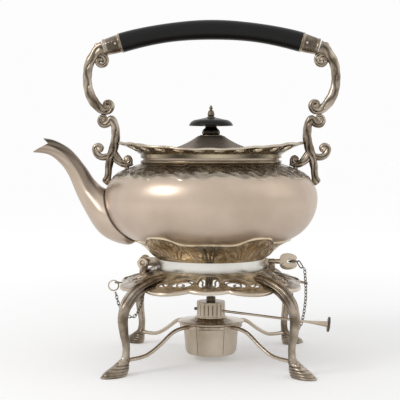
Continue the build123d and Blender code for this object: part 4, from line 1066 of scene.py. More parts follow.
sheet_piece("finial_leaves", "lid", black_metal, collar_rule, 160, 24, ["finial_collar"])

# %% Finial disc and spire
disc_underside = [(0.0, DISC_BASE - 0.2), (9.0, DISC_BASE - 0.2)]
disc_underside += smooth_path([(12.5, DISC_BASE + 0.9), (16.5, DISC_BASE + 0.9), (19.8, DISC_BASE - 0.2)], 5)
disc_edge = [
    (DISC_RADIUS - 0.5, DISC_BASE - 0.7),
    (DISC_RADIUS, DISC_BASE - 0.35),
    (DISC_RADIUS - 0.4, DISC_BASE + 0.7),
]
disc_crown = smooth_path(
    [(20.3, DISC_BASE + 2.7), (17.4, DISC_BASE + 4.6), (12.5, DISC_BASE + 5.7), (6.0, DISC_TOP)], 5
)
disc_profile = disc_underside + disc_edge + disc_crown + [(0.0, DISC_TOP)]
turned("finial_disc_wood", "lid", ebonised_wood, disc_profile, ["finial_disc"], steps=128)

spire_foot = [(0.0, -0.5), (4.4, -0.3), (4.4, 0.8), (2.6, 1.5), (1.7, 2.6)]
spire_waist = [(1.5, 7.7), (1.1, 8.4), (1.8, 9.3), (1.8, 10.0)]
spire_profile = [(radius, DISC_TOP + rise) for radius, rise in spire_foot]
spire_profile += arc((0.0, DISC_TOP + 4.9), 3.1, -48, 48, 10)
spire_profile += [(radius, DISC_TOP + rise) for radius, rise in spire_waist]
spire_profile += [(1.0, SPIRE_TOP - 1.2)] + arc((0.0, SPIRE_TOP - 0.9), 0.9, 20, 80, 4) + [(0.0, SPIRE_TOP)]
turned("finial_spire", "lid", dark_silver, spire_profile, steps=64)
polished("finial_fixing", ["finial_stud", "finial_nut"], "lid", dark_silver, rounding=0.0)
polished("lid_hinge_parts", ["lid_hinge_leaf"], "lid", bright_silver, rounding=0.12)
polished("gallery_hinge_parts", ["lid_hinge_knuckles", "lid_hinge_pin"], "kettle", bright_silver,
         rounding=0.1)

# %% [markdown]
# ## Handle
# An arched grip of ebonised wood sits in two engraved ferrules. Below each, a cast C-scroll curls back on
# itself and meets an S-shaped bracket with an outer curl, an inner curl and a toe on the shoulder. Every
# stem has a channel along both faces, and a round knop fills the eye of each curl. The same lines make
# both sides: the left is the right, turned half a turn.

# %% Grip
grip_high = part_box("grip")[1]
GRIP_RADIUS = grip_high.y / MM
GRIP_TOP = grip_high.z / MM - GRIP_RADIUS
GRIP_SPAN = 89.0
GRIP_RISE = 12.4
GRIP_BEND = (GRIP_SPAN**2 + GRIP_RISE**2) / (2 * GRIP_RISE)
END_ANGLE = math.asin(GRIP_SPAN / GRIP_BEND)
END_DIRECTION = Vector((math.cos(END_ANGLE), 0, -math.sin(END_ANGLE)))
GRIP_END = Vector((GRIP_SPAN, 0, GRIP_TOP - GRIP_RISE))

GRIP_HALF_STEPS = 30
GRIP_TAPER = 0.045
rows = []
for step in range(2 * GRIP_HALF_STEPS + 1):
    turn = END_ANGLE * (step / GRIP_HALF_STEPS - 1)
    thick = 2 * GRIP_RADIUS * (1 - GRIP_TAPER + GRIP_TAPER * math.cos(math.pi * turn / END_ANGLE) ** 2)
    rows.append((GRIP_BEND * math.sin(turn), 0, GRIP_TOP - GRIP_BEND * (1 - math.cos(turn)), thick, thick))
bm = bmesh.new()
sweep(bm, rows, (0, 1, 0), 48)
finish_piece(bm, "grip_wood", "kettle", ebonised_wood, ["grip"], crease=60)

# %% Ferrules
FERRULE_LENGTH = 18.4
FERRULE_RADIUS = 9.3
FERRULE_TAPER = 1.5
UPPER_RING = (1.1, 0.9)
LOWER_RING = (17.2, 0.8)
ENGRAVING = 0.2
ENGRAVING_START = 2.8
ENGRAVING_END = 15.6


def ferrule_rule(hand):
    """A tapered sleeve along the grip's end, with a raised ring near each edge."""
    along = Vector((hand * END_DIRECTION.x, 0, END_DIRECTION.z))
    end = Vector((hand * GRIP_END.x, 0, GRIP_END.z))
    upright = Vector((0, 1, 0)).cross(along)

    def rule(u, v):
        angle = math.tau * u
        gone = v * FERRULE_LENGTH
        radius = FERRULE_RADIUS - FERRULE_TAPER * gone / FERRULE_LENGTH
        radius += 1.0 * swell(gone, *UPPER_RING) + 0.8 * swell(gone, *LOWER_RING)
        pattern = foliage(6 * u, 5 * v)
        middle = step_up(gone, ENGRAVING_START, 4.0) * step_up(ENGRAVING_END - gone, 0.0, 1.0)
        radius += ENGRAVING * pattern * middle
        outwards = Vector((0, 1, 0)) * math.sin(angle) + upright * math.cos(angle)
        point = end + along * gone + outwards * radius
        # Painted light: the front and back of the sleeve are darker and its top and bottom lighter. The dark
        # in the engraving is patina.
        band = 0.5 - 0.5 * math.cos(2 * angle)
        return point, 0.2 + 0.5 * band * middle + 0.2 * (1 - pattern) * middle
    return rule


for hand, side_name in ((1, "right"), (-1, "left")):
    bm = capped_tube(ferrule_rule(hand), columns=120, rows=60)
    finish_piece(bm, f"{side_name}_ferrule_shell", "kettle", cast_silver, [f"{side_name}_ferrule"], crease=60)
polished("ferrule_rivets", ["ferrule_pins"], "kettle", bright_silver, rounding=0.0)

# %% Scroll and bracket lines
# Each row is x, z, width and depth in millimetres, on the right side; a knop is x, z and radius.
SCROLL_MAIN = [
    (107.6, 311.6, 8.6, 9.6), (111.5, 309.8, 8.2, 8.8), (116.2, 304.9, 7.4, 7.4), (121.5, 296.6, 7.0, 6.6),
    (123.4, 287.4, 6.8, 6.2), (123.7, 277.8, 6.8, 6.2), (122.0, 268.3, 7.0, 6.6), (118.3, 259.8, 7.2, 7.0),
    (112.8, 252.9, 7.2, 6.4), (107.2, 248.8, 7.0, 5.2), (101.6, 249.4, 6.6, 4.4), (99.0, 253.6, 6.2, 3.8),
    (101.2, 257.8, 5.8, 3.4), (105.4, 257.4, 5.4, 3.2), (106.0, 253.8, 5.0, 3.2), (103.6, 252.8, 4.8, 3.4),
]
SCROLL_CURL = [
    (119.5, 302.4, 4.0, 3.0), (114.6, 305.2, 5.6, 4.2), (108.6, 304.6, 6.2, 4.4), (104.9, 300.4, 6.2, 4.2),
    (106.2, 295.6, 6.0, 3.8), (110.8, 294.2, 5.6, 3.4), (113.6, 297.4, 5.2, 3.2), (111.6, 300.4, 4.8, 3.0),
    (109.4, 299.0, 4.6, 3.2),
]
SCROLL_BUD = [
    (110.5, 310.0, 4.0, 4.0), (113.4, 313.6, 5.0, 4.2), (115.2, 315.0, 3.4, 2.8), (116.2, 315.4, 0.6, 0.6),
]
BRACKET_MAIN = [
    (108.2, 238.2, 4.6, 3.2), (106.0, 239.4, 5.0, 3.6), (106.6, 242.4, 5.4, 3.8), (110.0, 242.4, 5.6, 3.8),
    (111.4, 238.4, 5.8, 3.8), (108.4, 234.8, 6.0, 4.0), (103.4, 236.0, 6.4, 4.6), (100.2, 241.2, 6.8, 5.0),
    (97.0, 236.6, 7.0, 5.6), (95.6, 228.0, 7.2, 6.0), (95.8, 220.0, 7.2, 6.2), (98.0, 210.6, 7.2, 6.4),
    (100.8, 202.0, 7.0, 6.2), (102.6, 192.8, 6.4, 5.2), (103.4, 184.0, 6.2, 4.8), (104.6, 179.6, 7.4, 6.2),
    (106.8, 176.8, 6.4, 4.6),
]
BRACKET_ARM = [
    (99.6, 206.4, 5.0, 4.0), (104.2, 203.4, 6.0, 4.6), (109.6, 202.8, 6.4, 4.8), (114.6, 206.0, 6.4, 4.6),
    (116.4, 211.4, 6.0, 4.2), (113.2, 214.6, 5.6, 3.8), (109.8, 212.6, 5.2, 3.4), (110.8, 209.6, 4.8, 3.2),
    (113.0, 210.4, 4.6, 3.2),
]
BRACKET_BRANCH = [
    (98.6, 211.0, 4.4, 3.4), (93.6, 202.6, 5.6, 4.4), (89.6, 197.2, 5.8, 4.4), (84.6, 195.6, 5.6, 4.2),
    (81.0, 198.8, 5.2, 3.8), (82.6, 202.6, 4.8, 3.4), (85.4, 201.4, 4.4, 3.2), (84.4, 199.8, 4.2, 3.0),
]
BRACKET_TOE = [(88.6, 198.2, 4.4, 3.2), (85.4, 194.0, 4.8, 3.4), (83.4, 190.6, 5.0, 3.2)]
BRACKET_BASE = [
    (98.4, 207.0, 5.6, 4.6), (94.6, 200.6, 6.6, 5.2), (89.2, 196.6, 7.4, 5.0), (83.6, 195.4, 6.6, 3.8),
    (78.2, 196.0, 3.6, 2.0),
]
SCROLL_CURVES = [SCROLL_MAIN, SCROLL_CURL, SCROLL_BUD]
BRACKET_CURVES = [BRACKET_MAIN, BRACKET_ARM, BRACKET_BRANCH, BRACKET_TOE, BRACKET_BASE]
SCROLL_KNOPS = [(109.6, 299.8, 2.5), (103.2, 253.4, 2.5), (114.4, 314.0, 2.5)]
BRACKET_KNOPS = [(107.8, 239.6, 2.4), (112.0, 210.8, 3.2), (84.0, 200.6, 2.8), (105.4, 178.8, 3.0)]
print("scroll lines", len(SCROLL_CURVES), "bracket lines", len(BRACKET_CURVES))

# %% Cast stems
STEM_STOUT = 1.2
STEM_DEEP = 1.42
RIPPLE_LENGTH = 9.0
CHANNEL_SWING_LENGTH = 23
CHANNEL_SWING = 0.28
CHANNEL_WIDTH = 0.24
CHANNEL_DEPTH = 0.36


def stem_rule(rows, length):
    """A cast stem along rows in the upright plane, with a channel on both faces and rippled edges."""
    def rule(u, v):
        x, _, z, width, depth = along_path(rows, v)
        before = along_path(rows, v - 0.01)
        after = along_path(rows, v + 0.01)
        along = Vector((after[0] - before[0], 0, after[2] - before[2])).normalized()
        turn = math.tau * u
        face = math.cos(turn)
        edge = math.sin(turn)
        broad = step_up(depth, 3.0, 5.5)
        ripple = 0.5 + 0.5 * math.sin(math.tau * v * length / RIPPLE_LENGTH + 2.5 * edge)
        middle = CHANNEL_SWING * math.sin(math.tau * v * length / CHANNEL_SWING_LENGTH)
        channel = swell(edge, middle, CHANNEL_WIDTH) * broad
        reach = edge * depth / 2 * (1 + 0.05 * ripple * broad)
        thick = face * width / 2 * (1 - CHANNEL_DEPTH * channel * (1 - 0.3 * ripple))
        # Painted light: the narrow sides are darkened as painted shade, and the rounded shoulders beside them
        # are kept clean as a painted highlight. The dark in the channel is patina.
        dark = 0.26 + 0.7 * channel * (1 - 0.2 * ripple) + 0.55 * abs(edge) ** 8
        dark -= 0.26 * step_up(abs(edge), 0.45, 0.7)
        return (x - along.z * reach, thick, z + along.x * reach), dark
    return rule


def scroll_piece(name, curves, knops, nodes, hand):
    """Cast scrollwork: stems along the curves, and a round knop in the eye of each curl."""
    bm = bmesh.new()
    for curve in curves:
        rows = smooth_path([(x, 0, z, width, depth) for x, z, width, depth in curve])
        length = path_length(rows)
        rows = even_path(rows, max(len(curve) * 5, 14))
        rows = [(x, y, z, width * STEM_STOUT, depth * STEM_DEEP) for x, y, z, width, depth in rows]
        join(bm, capped_tube(stem_rule(rows, length), columns=32, rows=max(int(length * 1.6), 12)))
    for x, z, radius in knops:
        place = Matrix.Translation((x * MM, 0, z * MM)) @ Matrix.Rotation(math.pi / 2, 4, "X")
        bmesh.ops.create_uvsphere(bm, u_segments=28, v_segments=18, radius=radius * MM, matrix=place)
    if hand < 0:
        turn_about_axis(bm, math.pi)
    return finish_piece(bm, name, "kettle", cast_silver, nodes, crease=60)


# %% Scroll castings
for hand, side_name in ((1, "right"), (-1, "left")):
    scroll_piece(f"{side_name}_scroll_casting", SCROLL_CURVES, SCROLL_KNOPS,
                 [f"{side_name}_handle_scroll"], hand)
    scroll_piece(f"{side_name}_bracket_casting", BRACKET_CURVES, BRACKET_KNOPS,
                 [f"{side_name}_handle_bracket"], hand)

# %% [markdown]
# ## Hinge and lock
# The tilting hinge and the lock keep the frame's solids with rounded edges, since their bores and pins have
# real clearances. Thin turned reeds dress the hinge's barrel. The locking pin's heart gets a wide rounding,
# which softens its flat plate.

# %% Hinge and lock
polished("kettle_hinge_cast", ["kettle_hinge_knuckle"], "kettle", cast_silver)
polished("lock_lug_cast", ["lock_lug"], "kettle", cast_silver, rounding=0.12)
polished("stand_hinge_cast", ["stand_hinge_knuckles"], "stand", cast_silver)
polished("lock_sleeve_cast", ["lock_sleeve"], "stand", cast_silver)
polished("hinge_pin_turned", ["hinge_pin"], "hinge_pin", bright_silver, rounding=0.1)
polished("lock_pin_turned", ["lock_pin"], "lock_pin", bright_silver, rounding=0.1)
polished("lock_links_bright", ["lock_pin_links"], "lock_pin", dark_silver, rounding=0.12)

# %% Hinge reeds
REED_RADIUS = 4.75
REED_WIRE = 1.3
REED_STEPS = 40
REED_PLACES = (7.4, 10.0, 12.6, 15.2)
hinge_low, hinge_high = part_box("stand_hinge_knuckles")
HINGE_X = (hinge_low.x + hinge_high.x) / 2 / MM
HINGE_Z = hinge_high.z / MM - REED_RADIUS
reeds = bmesh.new()
for distance in [-place for place in reversed(REED_PLACES)] + list(REED_PLACES):
    ring = []
    for step in range(REED_STEPS):
        angle = math.tau * step / REED_STEPS
        x = HINGE_X + REED_RADIUS * math.cos(angle)
        z = HINGE_Z + REED_RADIUS * math.sin(angle)
        ring.append((x, distance, z, REED_WIRE, REED_WIRE))
    sweep(reeds, ring, (0, 1, 0), 8, closed=True)
finish_piece(reeds, "hinge_reeds", "stand", cast_silver)

# %% Heart
polished("heart_plate", ["lock_pin_heart"], "lock_pin", bright_silver, rounding=0.8, crease=60)

# %% [markdown]
# ## Apron
# The apron is a flared sheet from the seat ring to a lobed edge, three lobes a side. Its openings are where
# the frame's are: each has a raised rim and holds cast scrolls, a dark leaf fills the middle of every side,
# and a moulded wire follows the edge. The edge is made of arcs through three points of the plan.

# %% Apron outline
SEAT_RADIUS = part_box("seat_ring")[1].x / MM
SEAT_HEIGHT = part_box("seat_ring")[1].z / MM
APRON_REACH = SEAT_RADIUS + 38.0
APRON_SIDE = SEAT_RADIUS + 27.0
APRON_CORNER = SEAT_RADIUS + 31.0
APRON_DROP = 13.0
APRON_SAG = 1.6
APRON_THICKNESS = 1.6
APRON_LOBE = 6.0
LOBE_EDGE = 0.3
EDGE_INSET = 1.0
polished("seat_ring_cast", ["seat_ring"], "stand", cast_silver, rounding=0.3)


def arc_through(a, b, c):
    """Centre and radius of the circle through three points of the plan."""
    ax, ay, bx, by, cx, cy = *a, *b, *c
    far_a, far_b, far_c = ax * ax + ay * ay, bx * bx + by * by, cx * cx + cy * cy
    area = 2 * (ax * (by - cy) + bx * (cy - ay) + cx * (ay - by))
    middle_x = (far_a * (by - cy) + far_b * (cy - ay) + far_c * (ay - by)) / area
    middle_y = (far_a * (cx - bx) + far_b * (ax - cx) + far_c * (bx - ax)) / area
    return middle_x, middle_y, math.hypot(ax - middle_x, ay - middle_y)


def apron_outline(u):
    """Distance from the axis to the apron's edge: the arcs of one side, folded round all four."""
    angle = abs(near_quarter(u, 0.0)) * math.tau
    corner = APRON_CORNER * math.sin(math.radians(45))
    half = corner * LOBE_EDGE
    if math.tan(angle) < half / APRON_SIDE:
        points = (APRON_SIDE, -half), (APRON_SIDE + APRON_LOBE, 0), (APRON_SIDE, half)
    else:
        middle = (APRON_SIDE + APRON_LOBE / 2, (corner + half) / 2)
        points = (APRON_SIDE, half), middle, (corner, corner)
    centre_x, centre_y, radius = arc_through(*points)
    along = centre_x * math.cos(angle) + centre_y * math.sin(angle)
    away = centre_x * math.sin(angle) - centre_y * math.cos(angle)
    return along + math.sqrt(radius**2 - away**2)


def apron_height(radius):
    """Height of the apron's top on its two chords."""
    share = (radius - SEAT_RADIUS) / (APRON_REACH - SEAT_RADIUS)
    return SEAT_HEIGHT - APRON_THICKNESS - share * APRON_DROP - 2 * APRON_SAG * min(share, 1 - share)


# %% Apron relief
# Each opening: degrees from the side's middle, distance outside the seat, half width and half length.
PIERCED_HALF = ((5.0, 14.5, 2.9, 7.8), (19.5, 18.0, 7.6, 6.6), (32.6, 22.5, 3.6, 4.4))
PIERCINGS = [(hand * angle, *place) for hand in (-1, 1) for angle, *place in PIERCED_HALF]
RIM_PLACE = 1.28
RIM_SPREAD = 0.2
LEAF_HALF_TURN = 3.4
APRON_RELIEF = 0.9
print(len(PIERCINGS), "openings in each quarter of the apron")


def apron_relief(u, radius):
    """Raised rims round the openings and a leaf in the middle of each side, from 0 to 1, and the patina."""
    turn = near_quarter(u, 0.0) * 360
    rims = 0.0
    for angle, distance, half_turn, half_out in PIERCINGS:
        out = (radius - SEAT_RADIUS - distance) / half_out
        far = math.hypot((turn - angle) / half_turn, out)
        rims = max(rims, swell(far, RIM_PLACE, RIM_SPREAD))
    if abs(turn) >= LEAF_HALF_TURN:
        return rims, 0.15 * (1 - rims)
    leaf = shell_fan(turn / LEAF_HALF_TURN, 1 - (radius - SEAT_RADIUS) / 32, 3.0)
    return max(rims, leaf), 0.9 * leaf


def apron_rule(u, v):
    """v is 0 at the seat ring and 1 at the edge."""
    reach = apron_outline(u) - EDGE_INSET
    radius = SEAT_RADIUS + (reach - SEAT_RADIUS) * v
    relief, dark = apron_relief(u, radius)
    fade = step_up(v, 0.03, 0.15) * step_up(1 - v, 0.02, 0.1)
    z = apron_height(radius) + APRON_RELIEF * relief * fade
    return around(radius, math.tau * u, z), dark * fade


# %% Apron sheet
SEAM_MARGIN = 0.02
holes = []
for quarter in range(4):
    for angle, distance, half_turn, half_out in PIERCINGS:
        u = (quarter / 4 + angle / 360) % 1.0
        span = apron_outline(u) - EDGE_INSET - SEAT_RADIUS
        holes.append((u, distance / span, half_turn / 360, half_out / span))
sheet_piece("apron_cast", "stand", cast_silver, apron_rule, 1080, 40, ["apron"], thickness=1.3,
            holes=[hole for hole in holes if SEAM_MARGIN < hole[0] < 1 - SEAM_MARGIN])

# %% Apron scrolls and edge wire
# Each point is degrees from the side's middle and distance outside the seat ring.
APRON_SCROLLS = [
    [(11.0, 20.0), (14.0, 13.5), (19.0, 12.0), (23.5, 15.0),
     (23.0, 20.0), (19.5, 21.5), (18.0, 18.0), (20.0, 16.5)],
    [(27.5, 19.0), (25.0, 23.5), (20.0, 26.0)],
    [(1.5, 23.0), (4.6, 17.0), (5.0, 11.0), (8.4, 6.0)],
    [(30.0, 25.5), (32.5, 22.0), (35.0, 19.5)],
]
APRON_SCROLL_LIFT = 0.4
APRON_SCROLL_WIDTH = 1.7
APRON_SCROLL_DEPTH = 1.9
EDGE_WIRE_STEPS = 720
EDGE_WIRE_INSET = 1.5
EDGE_WIRE_DROP = 0.9
EDGE_WIRE_WIDTH = 3.4
EDGE_WIRE_DEPTH = 3.0
bm = bmesh.new()
for quarter in range(4):
    for hand in (-1, 1):
        for curve in APRON_SCROLLS:
            rows = []
            for turn, out in smooth_path(curve, 8):
                angle = math.radians(90 * quarter + hand * turn)
                radius = SEAT_RADIUS + out
                point = around(radius, angle, apron_height(radius) + APRON_SCROLL_LIFT)
                rows.append((*point, APRON_SCROLL_WIDTH, APRON_SCROLL_DEPTH))
            sweep(bm, rows, (0, 0, 1), 10)
finish_piece(bm, "apron_scrolls", "stand", cast_silver, crease=60)
bm = bmesh.new()
apron_edge = ring_path(
    lambda u: apron_outline(u) - EDGE_WIRE_INSET,
    lambda u, radius: apron_height(radius) - EDGE_WIRE_DROP,
    EDGE_WIRE_STEPS, EDGE_WIRE_WIDTH, EDGE_WIRE_DEPTH,
)
sweep(bm, apron_edge, (0, 0, 1), 14, closed=True)
finish_piece(bm, "apron_wire", "stand", bright_silver)

# %% [markdown]
# ## Cabriole legs
# Each leg turns over at the knee and ends in a hoof. Its section is an oval with a soft keel along the
# front. Flutes run over the knee, a tuft of hair hangs at the ankle, and the hoof is ridged, with a flat
# sole. The stations are the frame's: distance, height, heading, thickness and width.

# %% Legs
LEG_STATIONS = [
    (64.0, 86.5, 14, 7.0, 13.0), (80.0, 83.5, 18, 9.0, 13.0), (96.0, 77.0, 38, 10.0, 11.5),
    (107.5, 66.5, 64, 10.5, 10.5), (112.6, 54.0, 84, 10.0, 10.0), (111.6, 40.0, 95, 8.4, 8.6),
    (109.0, 27.0, 95, 7.0, 7.4), (109.4, 18.0, 90, 7.2, 7.6), (111.4, 13.4, 90, 10.0, 9.4),
    (115.4, 9.4, 90, 17.6, 12.2), (119.8, 5.4, 90, 25.6, 15.0), (122.6, 2.2, 90, 28.6, 16.4),
    (123.6, 0.7, 90, 28.6, 16.6), (123.6, 0.0, 90, 27.6, 16.0),
]
LEG_TOP = LEG_STATIONS[0][1]
ANKLE_HEIGHT = 14
FLUTES_END = 58.0
FLUTE_COUNT = 9.0
FLUTE_HEIGHT = 0.9
KEEL_HEIGHT = 0.5
TUFT_SWELL = 0.8
TUFT_HEIGHT = 13.0
TUFT_SHADOW = 11.0
TUFT_FRINGE = 1.1
HOOF_TOP = 10.4
HOOF_BASE = 0.3
HOOF_RIDGE = 2.6
RIDGE_HEIGHT = 0.55
RIDGE_SINK = 0.4
leg_path = smooth_path(LEG_STATIONS, 14)
QUADRANTS = {"rear_right": 45, "rear_left": 135, "front_left": 225, "front_right": 315}


def leg_rule(u, v):
    """One leg in the plane of X and Z; v is 0 at the apron and 1 at the sole."""
    distance, height, heading, thickness, width = along_path(leg_path, v)
    turn = math.tau * u
    front = math.cos(turn)
    angle = math.radians(heading)
    side = abs(math.sin(turn))
    relief = 0.0
    # Painted reflection: both flanks of the leg are darker than its front and back.
    dark = 0.12 + 0.4 * side**4
    if height > ANKLE_HEIGHT:
        relief += KEEL_HEIGHT * max(front, 0.0) ** 10
    if height > FLUTES_END:
        share = (height - FLUTES_END) / (LEG_TOP - FLUTES_END)
        spread = abs((turn + math.pi) % math.tau - math.pi)
        ribs = 0.5 + 0.5 * math.cos(FLUTE_COUNT * spread)
        fade = step_up(share, 0.0, 0.35)
        relief += fade * FLUTE_HEIGHT * ribs
        dark = max(dark, 0.8 * fade * (1 - ribs))
    fringe = TUFT_FRINGE * math.cos(5 * turn)
    relief += TUFT_SWELL * swell(height - TUFT_HEIGHT, fringe, 1.2)
    dark = max(dark, 0.75 * swell(height - TUFT_SHADOW, fringe, 0.6))
    if HOOF_BASE < height < HOOF_TOP:
        ridge = abs(math.sin(math.pi * height / HOOF_RIDGE))
        relief += RIDGE_HEIGHT * ridge - RIDGE_SINK
        dark = max(dark, 0.85 * (1 - ridge) ** 2)
    out = (thickness / 2 + relief) * front
    across = (width / 2 + relief * 0.8) * math.sin(turn)
    return (distance + out * math.sin(angle), across, height + out * math.cos(angle)), dark


for side_name, quadrant in QUADRANTS.items():
    bm = capped_tube(leg_rule, columns=80, rows=240)
    turn_about_axis(bm, math.radians(quadrant))
    finish_piece(bm, f"{side_name}_leg_cast", "stand", cast_silver, [f"{side_name}_leg"], crease=65)

# %% Lamp bars
# Each point is a distance beyond the lamp ring and the drop below its top.
BAR_THICKNESS = 3.9
RING_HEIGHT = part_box("lamp_ring")[1].z / MM - 1.8
BAR_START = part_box("lamp_ring")[1].x / MM - 1.0
BAR_DROPS = [(0.0, 0.0), (11.0, 0.3), (22.0, 3.4), (38.0, 13.2), (52.0, 19.8), (64.0, 21.6), (78.0, 21.7)]
bar_line = smooth_path([(BAR_START + run, RING_HEIGHT - drop) for run, drop in BAR_DROPS], 10)
for side_name, quadrant in QUADRANTS.items():
    bm = bmesh.new()
    sweep(bm, [(x, 0, z, BAR_THICKNESS, BAR_THICKNESS) for x, z in bar_line], (0, 1, 0), 24)
    turn_about_axis(bm, math.radians(quadrant))
    finish_piece(bm, f"{side_name}_bar_wire", "stand", bright_silver, [f"{side_name}_lamp_bar"], crease=60)
polished("lamp_ring_turned", ["lamp_ring"], "stand", cast_silver, rounding=0.3)

# %% [markdown]
# ## Spirit burner
# The font is a tapered cup with six dark seam wires, their dark a painted reflection of the legs, and a
# turned lip, under a shallow cover. A fluted collar stands on it round the wick tube, with painted shade in
# its flutes. The regulator's rod slopes out to the right and ends in a dished disc. Cup and cover are turned
# from profiles, like the real spun metal.

# %% Font
font_low, font_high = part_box("font")
FONT_BASE = font_low.z / MM
FLANGE_RADIUS = font_high.x / MM
FLANGE_TOP = font_high.z / MM
font_outside = [
    (0.0, FONT_BASE), (22.6, FONT_BASE), (23.8, FONT_BASE + 0.5), (24.6, FONT_BASE + 1.6),
    (25.0, FONT_BASE + 3.4), (27.5, FLANGE_TOP - 3.0), (27.7, FLANGE_TOP - 1.9),
]
font_lip = [
    (FLANGE_RADIUS - 0.6, FLANGE_TOP - 1.2), (FLANGE_RADIUS, FLANGE_TOP - 0.7),
    (FLANGE_RADIUS, FLANGE_TOP - 0.2), (FLANGE_RADIUS - 0.5, FLANGE_TOP),
]
font_inside = [(26.4, FLANGE_TOP), (23.4, FONT_BASE + 1.2), (0.0, FONT_BASE + 1.2)]
turned("font_cup", "burner", bright_silver, font_outside + font_lip + font_inside, ["font"], steps=128)

FONT_SEAMS = 6
SEAM_WIRE = 0.5
seam_line = [(24.75, FONT_BASE + 2.4), (25.1, FONT_BASE + 3.6), (27.4, FLANGE_TOP - 3.4)]
# Dark wires on the seams: their dark is painted reflection of the legs in the font.
bm = bmesh.new()
for seam in range(FONT_SEAMS):
    angle = math.tau * seam / FONT_SEAMS
    rows = [(*around(radius, angle, z), SEAM_WIRE, SEAM_WIRE) for radius, z in seam_line]
    sweep(bm, rows, (0, 0, 1), 8)
finish_piece(bm, "font_seams_painted_reflection", "burner", dark_silver, crease=60)

# %% Burner cover
COVER_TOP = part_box("burner_cover")[1].z / MM
DRUM_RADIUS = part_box("burner_collar")[1].y / MM
DRUM_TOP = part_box("burner_collar")[1].z / MM
TUBE_RADIUS = 4.7
cover_edge = [
    (TUBE_RADIUS, COVER_TOP - 1.2), (27.5, FLANGE_TOP + 0.02),
    (FLANGE_RADIUS - 0.1, FLANGE_TOP + 0.05), (FLANGE_RADIUS - 0.1, FLANGE_TOP + 0.5),
]
cover_side = smooth_path(
    [(FLANGE_RADIUS - 1.6, FLANGE_TOP + 0.9), (24.0, FLANGE_TOP + 1.9), (18.0, FLANGE_TOP + 3.2)], 6
)
cover_ring = [
    (DRUM_RADIUS + 1.3, COVER_TOP - 0.2), (DRUM_RADIUS + 1.1, COVER_TOP + 0.7),
    (DRUM_RADIUS - 0.2, COVER_TOP + 0.7), (DRUM_RADIUS - 0.2, COVER_TOP), (TUBE_RADIUS, COVER_TOP),
]
turned("cover_dome", "burner", bright_silver, cover_edge + cover_side + cover_ring, ["burner_cover"],
       steps=128)

# %% Burner drum and regulator
DRUM_FLUTES = 20
DRUM_SHARE = 0.8
FLUTE_DEPTH = 0.45


def drum_rule(u, v):
    """The drum's outside, fluted between two plain rims, then its top as far as the wick tube."""
    angle = math.tau * u
    if v < DRUM_SHARE:
        share = v / DRUM_SHARE
        flute = step_up(abs(math.cos(DRUM_FLUTES / 2 * angle)), 0.1, 0.38)
        middle = step_up(share, 0.12, 0.2) * step_up(0.88 - share, 0.0, 0.08)
        radius = DRUM_RADIUS - FLUTE_DEPTH * (1 - flute) * middle
        z = COVER_TOP + 0.05 + (DRUM_TOP - 0.4 - COVER_TOP) * share
        # Painted shade: the flutes are darkened where the collar's slots show dark.
        dark = 0.1 + 0.85 * (1 - flute) * middle
    else:
        share = (v - DRUM_SHARE) / (1 - DRUM_SHARE)
        radius = DRUM_RADIUS - 0.2 - (DRUM_RADIUS - 4.8) * share
        z = DRUM_TOP + 0.05
        dark = 0.3
    return around(radius, angle, z), dark


sheet_piece("burner_drum", "burner", bright_silver, drum_rule, 360, 40, ["burner_collar"], thickness=0.6)
polished("wick_tube_turned", ["wick_tube", "collar_rivet"], "burner", dark_silver, rounding=0.1)
polished("wick_cotton", ["wick"], "wick", cotton, rounding=0.3)
polished("regulator_turned", ["regulator_rod", "wick_wheel"], "regulator", bright_silver, rounding=0.0)
polished("regulator_button", ["regulator_disc"], "regulator", dark_silver, rounding=0.25)

# %% [markdown]
# ## Chains
# Each loose pin hangs on a chain of oval links. The links follow the frame's curves, each turned a quarter
# from the last, and the right chain starts a little higher, at the long link of its pin.

# %% Chains
LINK_LENGTH = 5.4
LINK_WIDTH = 3.6
LINK_WIRE = 0.9
LINK_THICKNESS = LINK_WIRE * 0.86
LINK_SLACK = 0.28
LINK_STEPS = 20
LINK_PITCH = LINK_LENGTH - 2 * LINK_WIRE - LINK_SLACK
LEFT_CHAIN = [
    (39.2, 0.5, 25.5), (34.0, 5.0, 43.7), (22.0, 12.0, 51.7), (13.5, 20.0, 33.7), (12.8, 24.7, 8.7),
    (10.5, 21.8, -1.5),
]
RIGHT_CHAIN = [
    (35.3, 0.5, 0.2), (37.0, 0.5, 3.7), (38.0, 1.0, 29.7), (34.0, 2.5, 55.7), (27.0, 5.0, 63.2),
    (24.5, 8.0, 45.7), (25.0, 10.0, 21.1),
]


def oval_link(centre, along, other):
    """Rows round one link, whose long way is along."""
    rows = []
    for step in range(LINK_STEPS):
        turn = math.tau * step / LINK_STEPS
        run = (LINK_LENGTH - LINK_WIRE) / 2 * math.cos(turn)
        rise = (LINK_WIDTH - LINK_WIRE) / 2 * math.sin(turn) * (1.12 - 0.12 * math.sin(turn) ** 2)
        rows.append((*(centre + along * run + other * rise), LINK_THICKNESS, LINK_THICKNESS))
    return rows


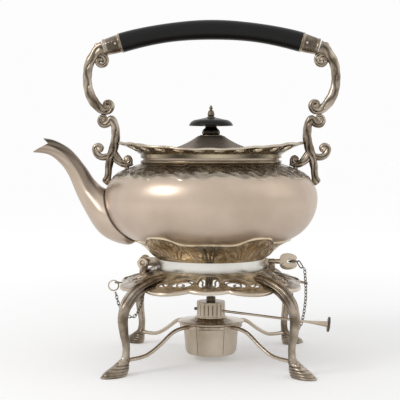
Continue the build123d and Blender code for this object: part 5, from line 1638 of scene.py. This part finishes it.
def hang_chain(name, places, hand, node):
    """A chain through places given as distance outside the seat, distance back and depth below it."""
    points = [(hand * (SEAT_RADIUS + out), back, SEAT_HEIGHT - depth) for out, back, depth in places]
    path = smooth_path(points, 40)
    length = path_length(path)
    count = round(length / LINK_PITCH)
    path = even_path(path, 2 * count)
    sideways = Vector((0, 0, 1)).cross(Vector(points[-1]) - Vector(points[0])).normalized()
    bm = bmesh.new()
    for link in range(count):
        centre = Vector(path[2 * link + 1])
        along = (Vector(path[2 * link + 2]) - Vector(path[2 * link])).normalized()
        across = sideways.cross(along).normalized()
        if link % 2:
            across = across.cross(along)
        sweep(bm, oval_link(centre, along, across.cross(along)), across, 8, closed=True)
    piece = finish_piece(bm, name, None, dark_silver, [node], crease=60)
    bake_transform(piece)
    print(name, count, "links,", round(length, 1), "mm")


hang_chain("left_chain_links", LEFT_CHAIN, -1, "left_chain")
hang_chain("right_chain_links", RIGHT_CHAIN, 1, "right_chain")

# %% Chain fixings
polished("left_chain_fixing", ["left_eyelet", "left_chain_ring"], "stand", cast_silver, rounding=0.2)
polished("right_chain_fixing", ["right_eyelet"], "stand", dark_silver, rounding=0.2)
# Rows of x, y, z, width and depth in millimetres.
EAR_LINE = [
    (82.0, 4.8, 79.6, 3.6, 3.2), (88.0, 4.8, 78.0, 3.0, 2.8), (94.0, 4.8, 76.6, 2.6, 2.6),
    (97.2, 4.8, 75.8, 2.9, 2.9),
]
bm = bmesh.new()
sweep(bm, smooth_path(EAR_LINE, 8), (0, 1, 0), 20)
finish_piece(bm, "right_ear", "stand", cast_silver, crease=60)

# %% [markdown]
# ## Carried-over nodes
# The frame's own solids that no piece replaces stay visible, so they get the metal, wood or cotton of the
# slot that the record names for them.

# %% Carried-over nodes
MATERIAL_OF_SLOT = {
    "silver": cast_silver,
    "gilded_silver": gilded_silver,
    "ebonised_wood": ebonised_wood,
    "cotton": cotton,
}
slot_of_node = {row["node"]: row["material_slot"] for row in frame["record"]["subparts"]}
for name, node in frame["nodes"].items():
    node.data.materials.clear()
    node.data.materials.append(MATERIAL_OF_SLOT[slot_of_node[name]])
print(len(slot_of_node), "nodes have a material")
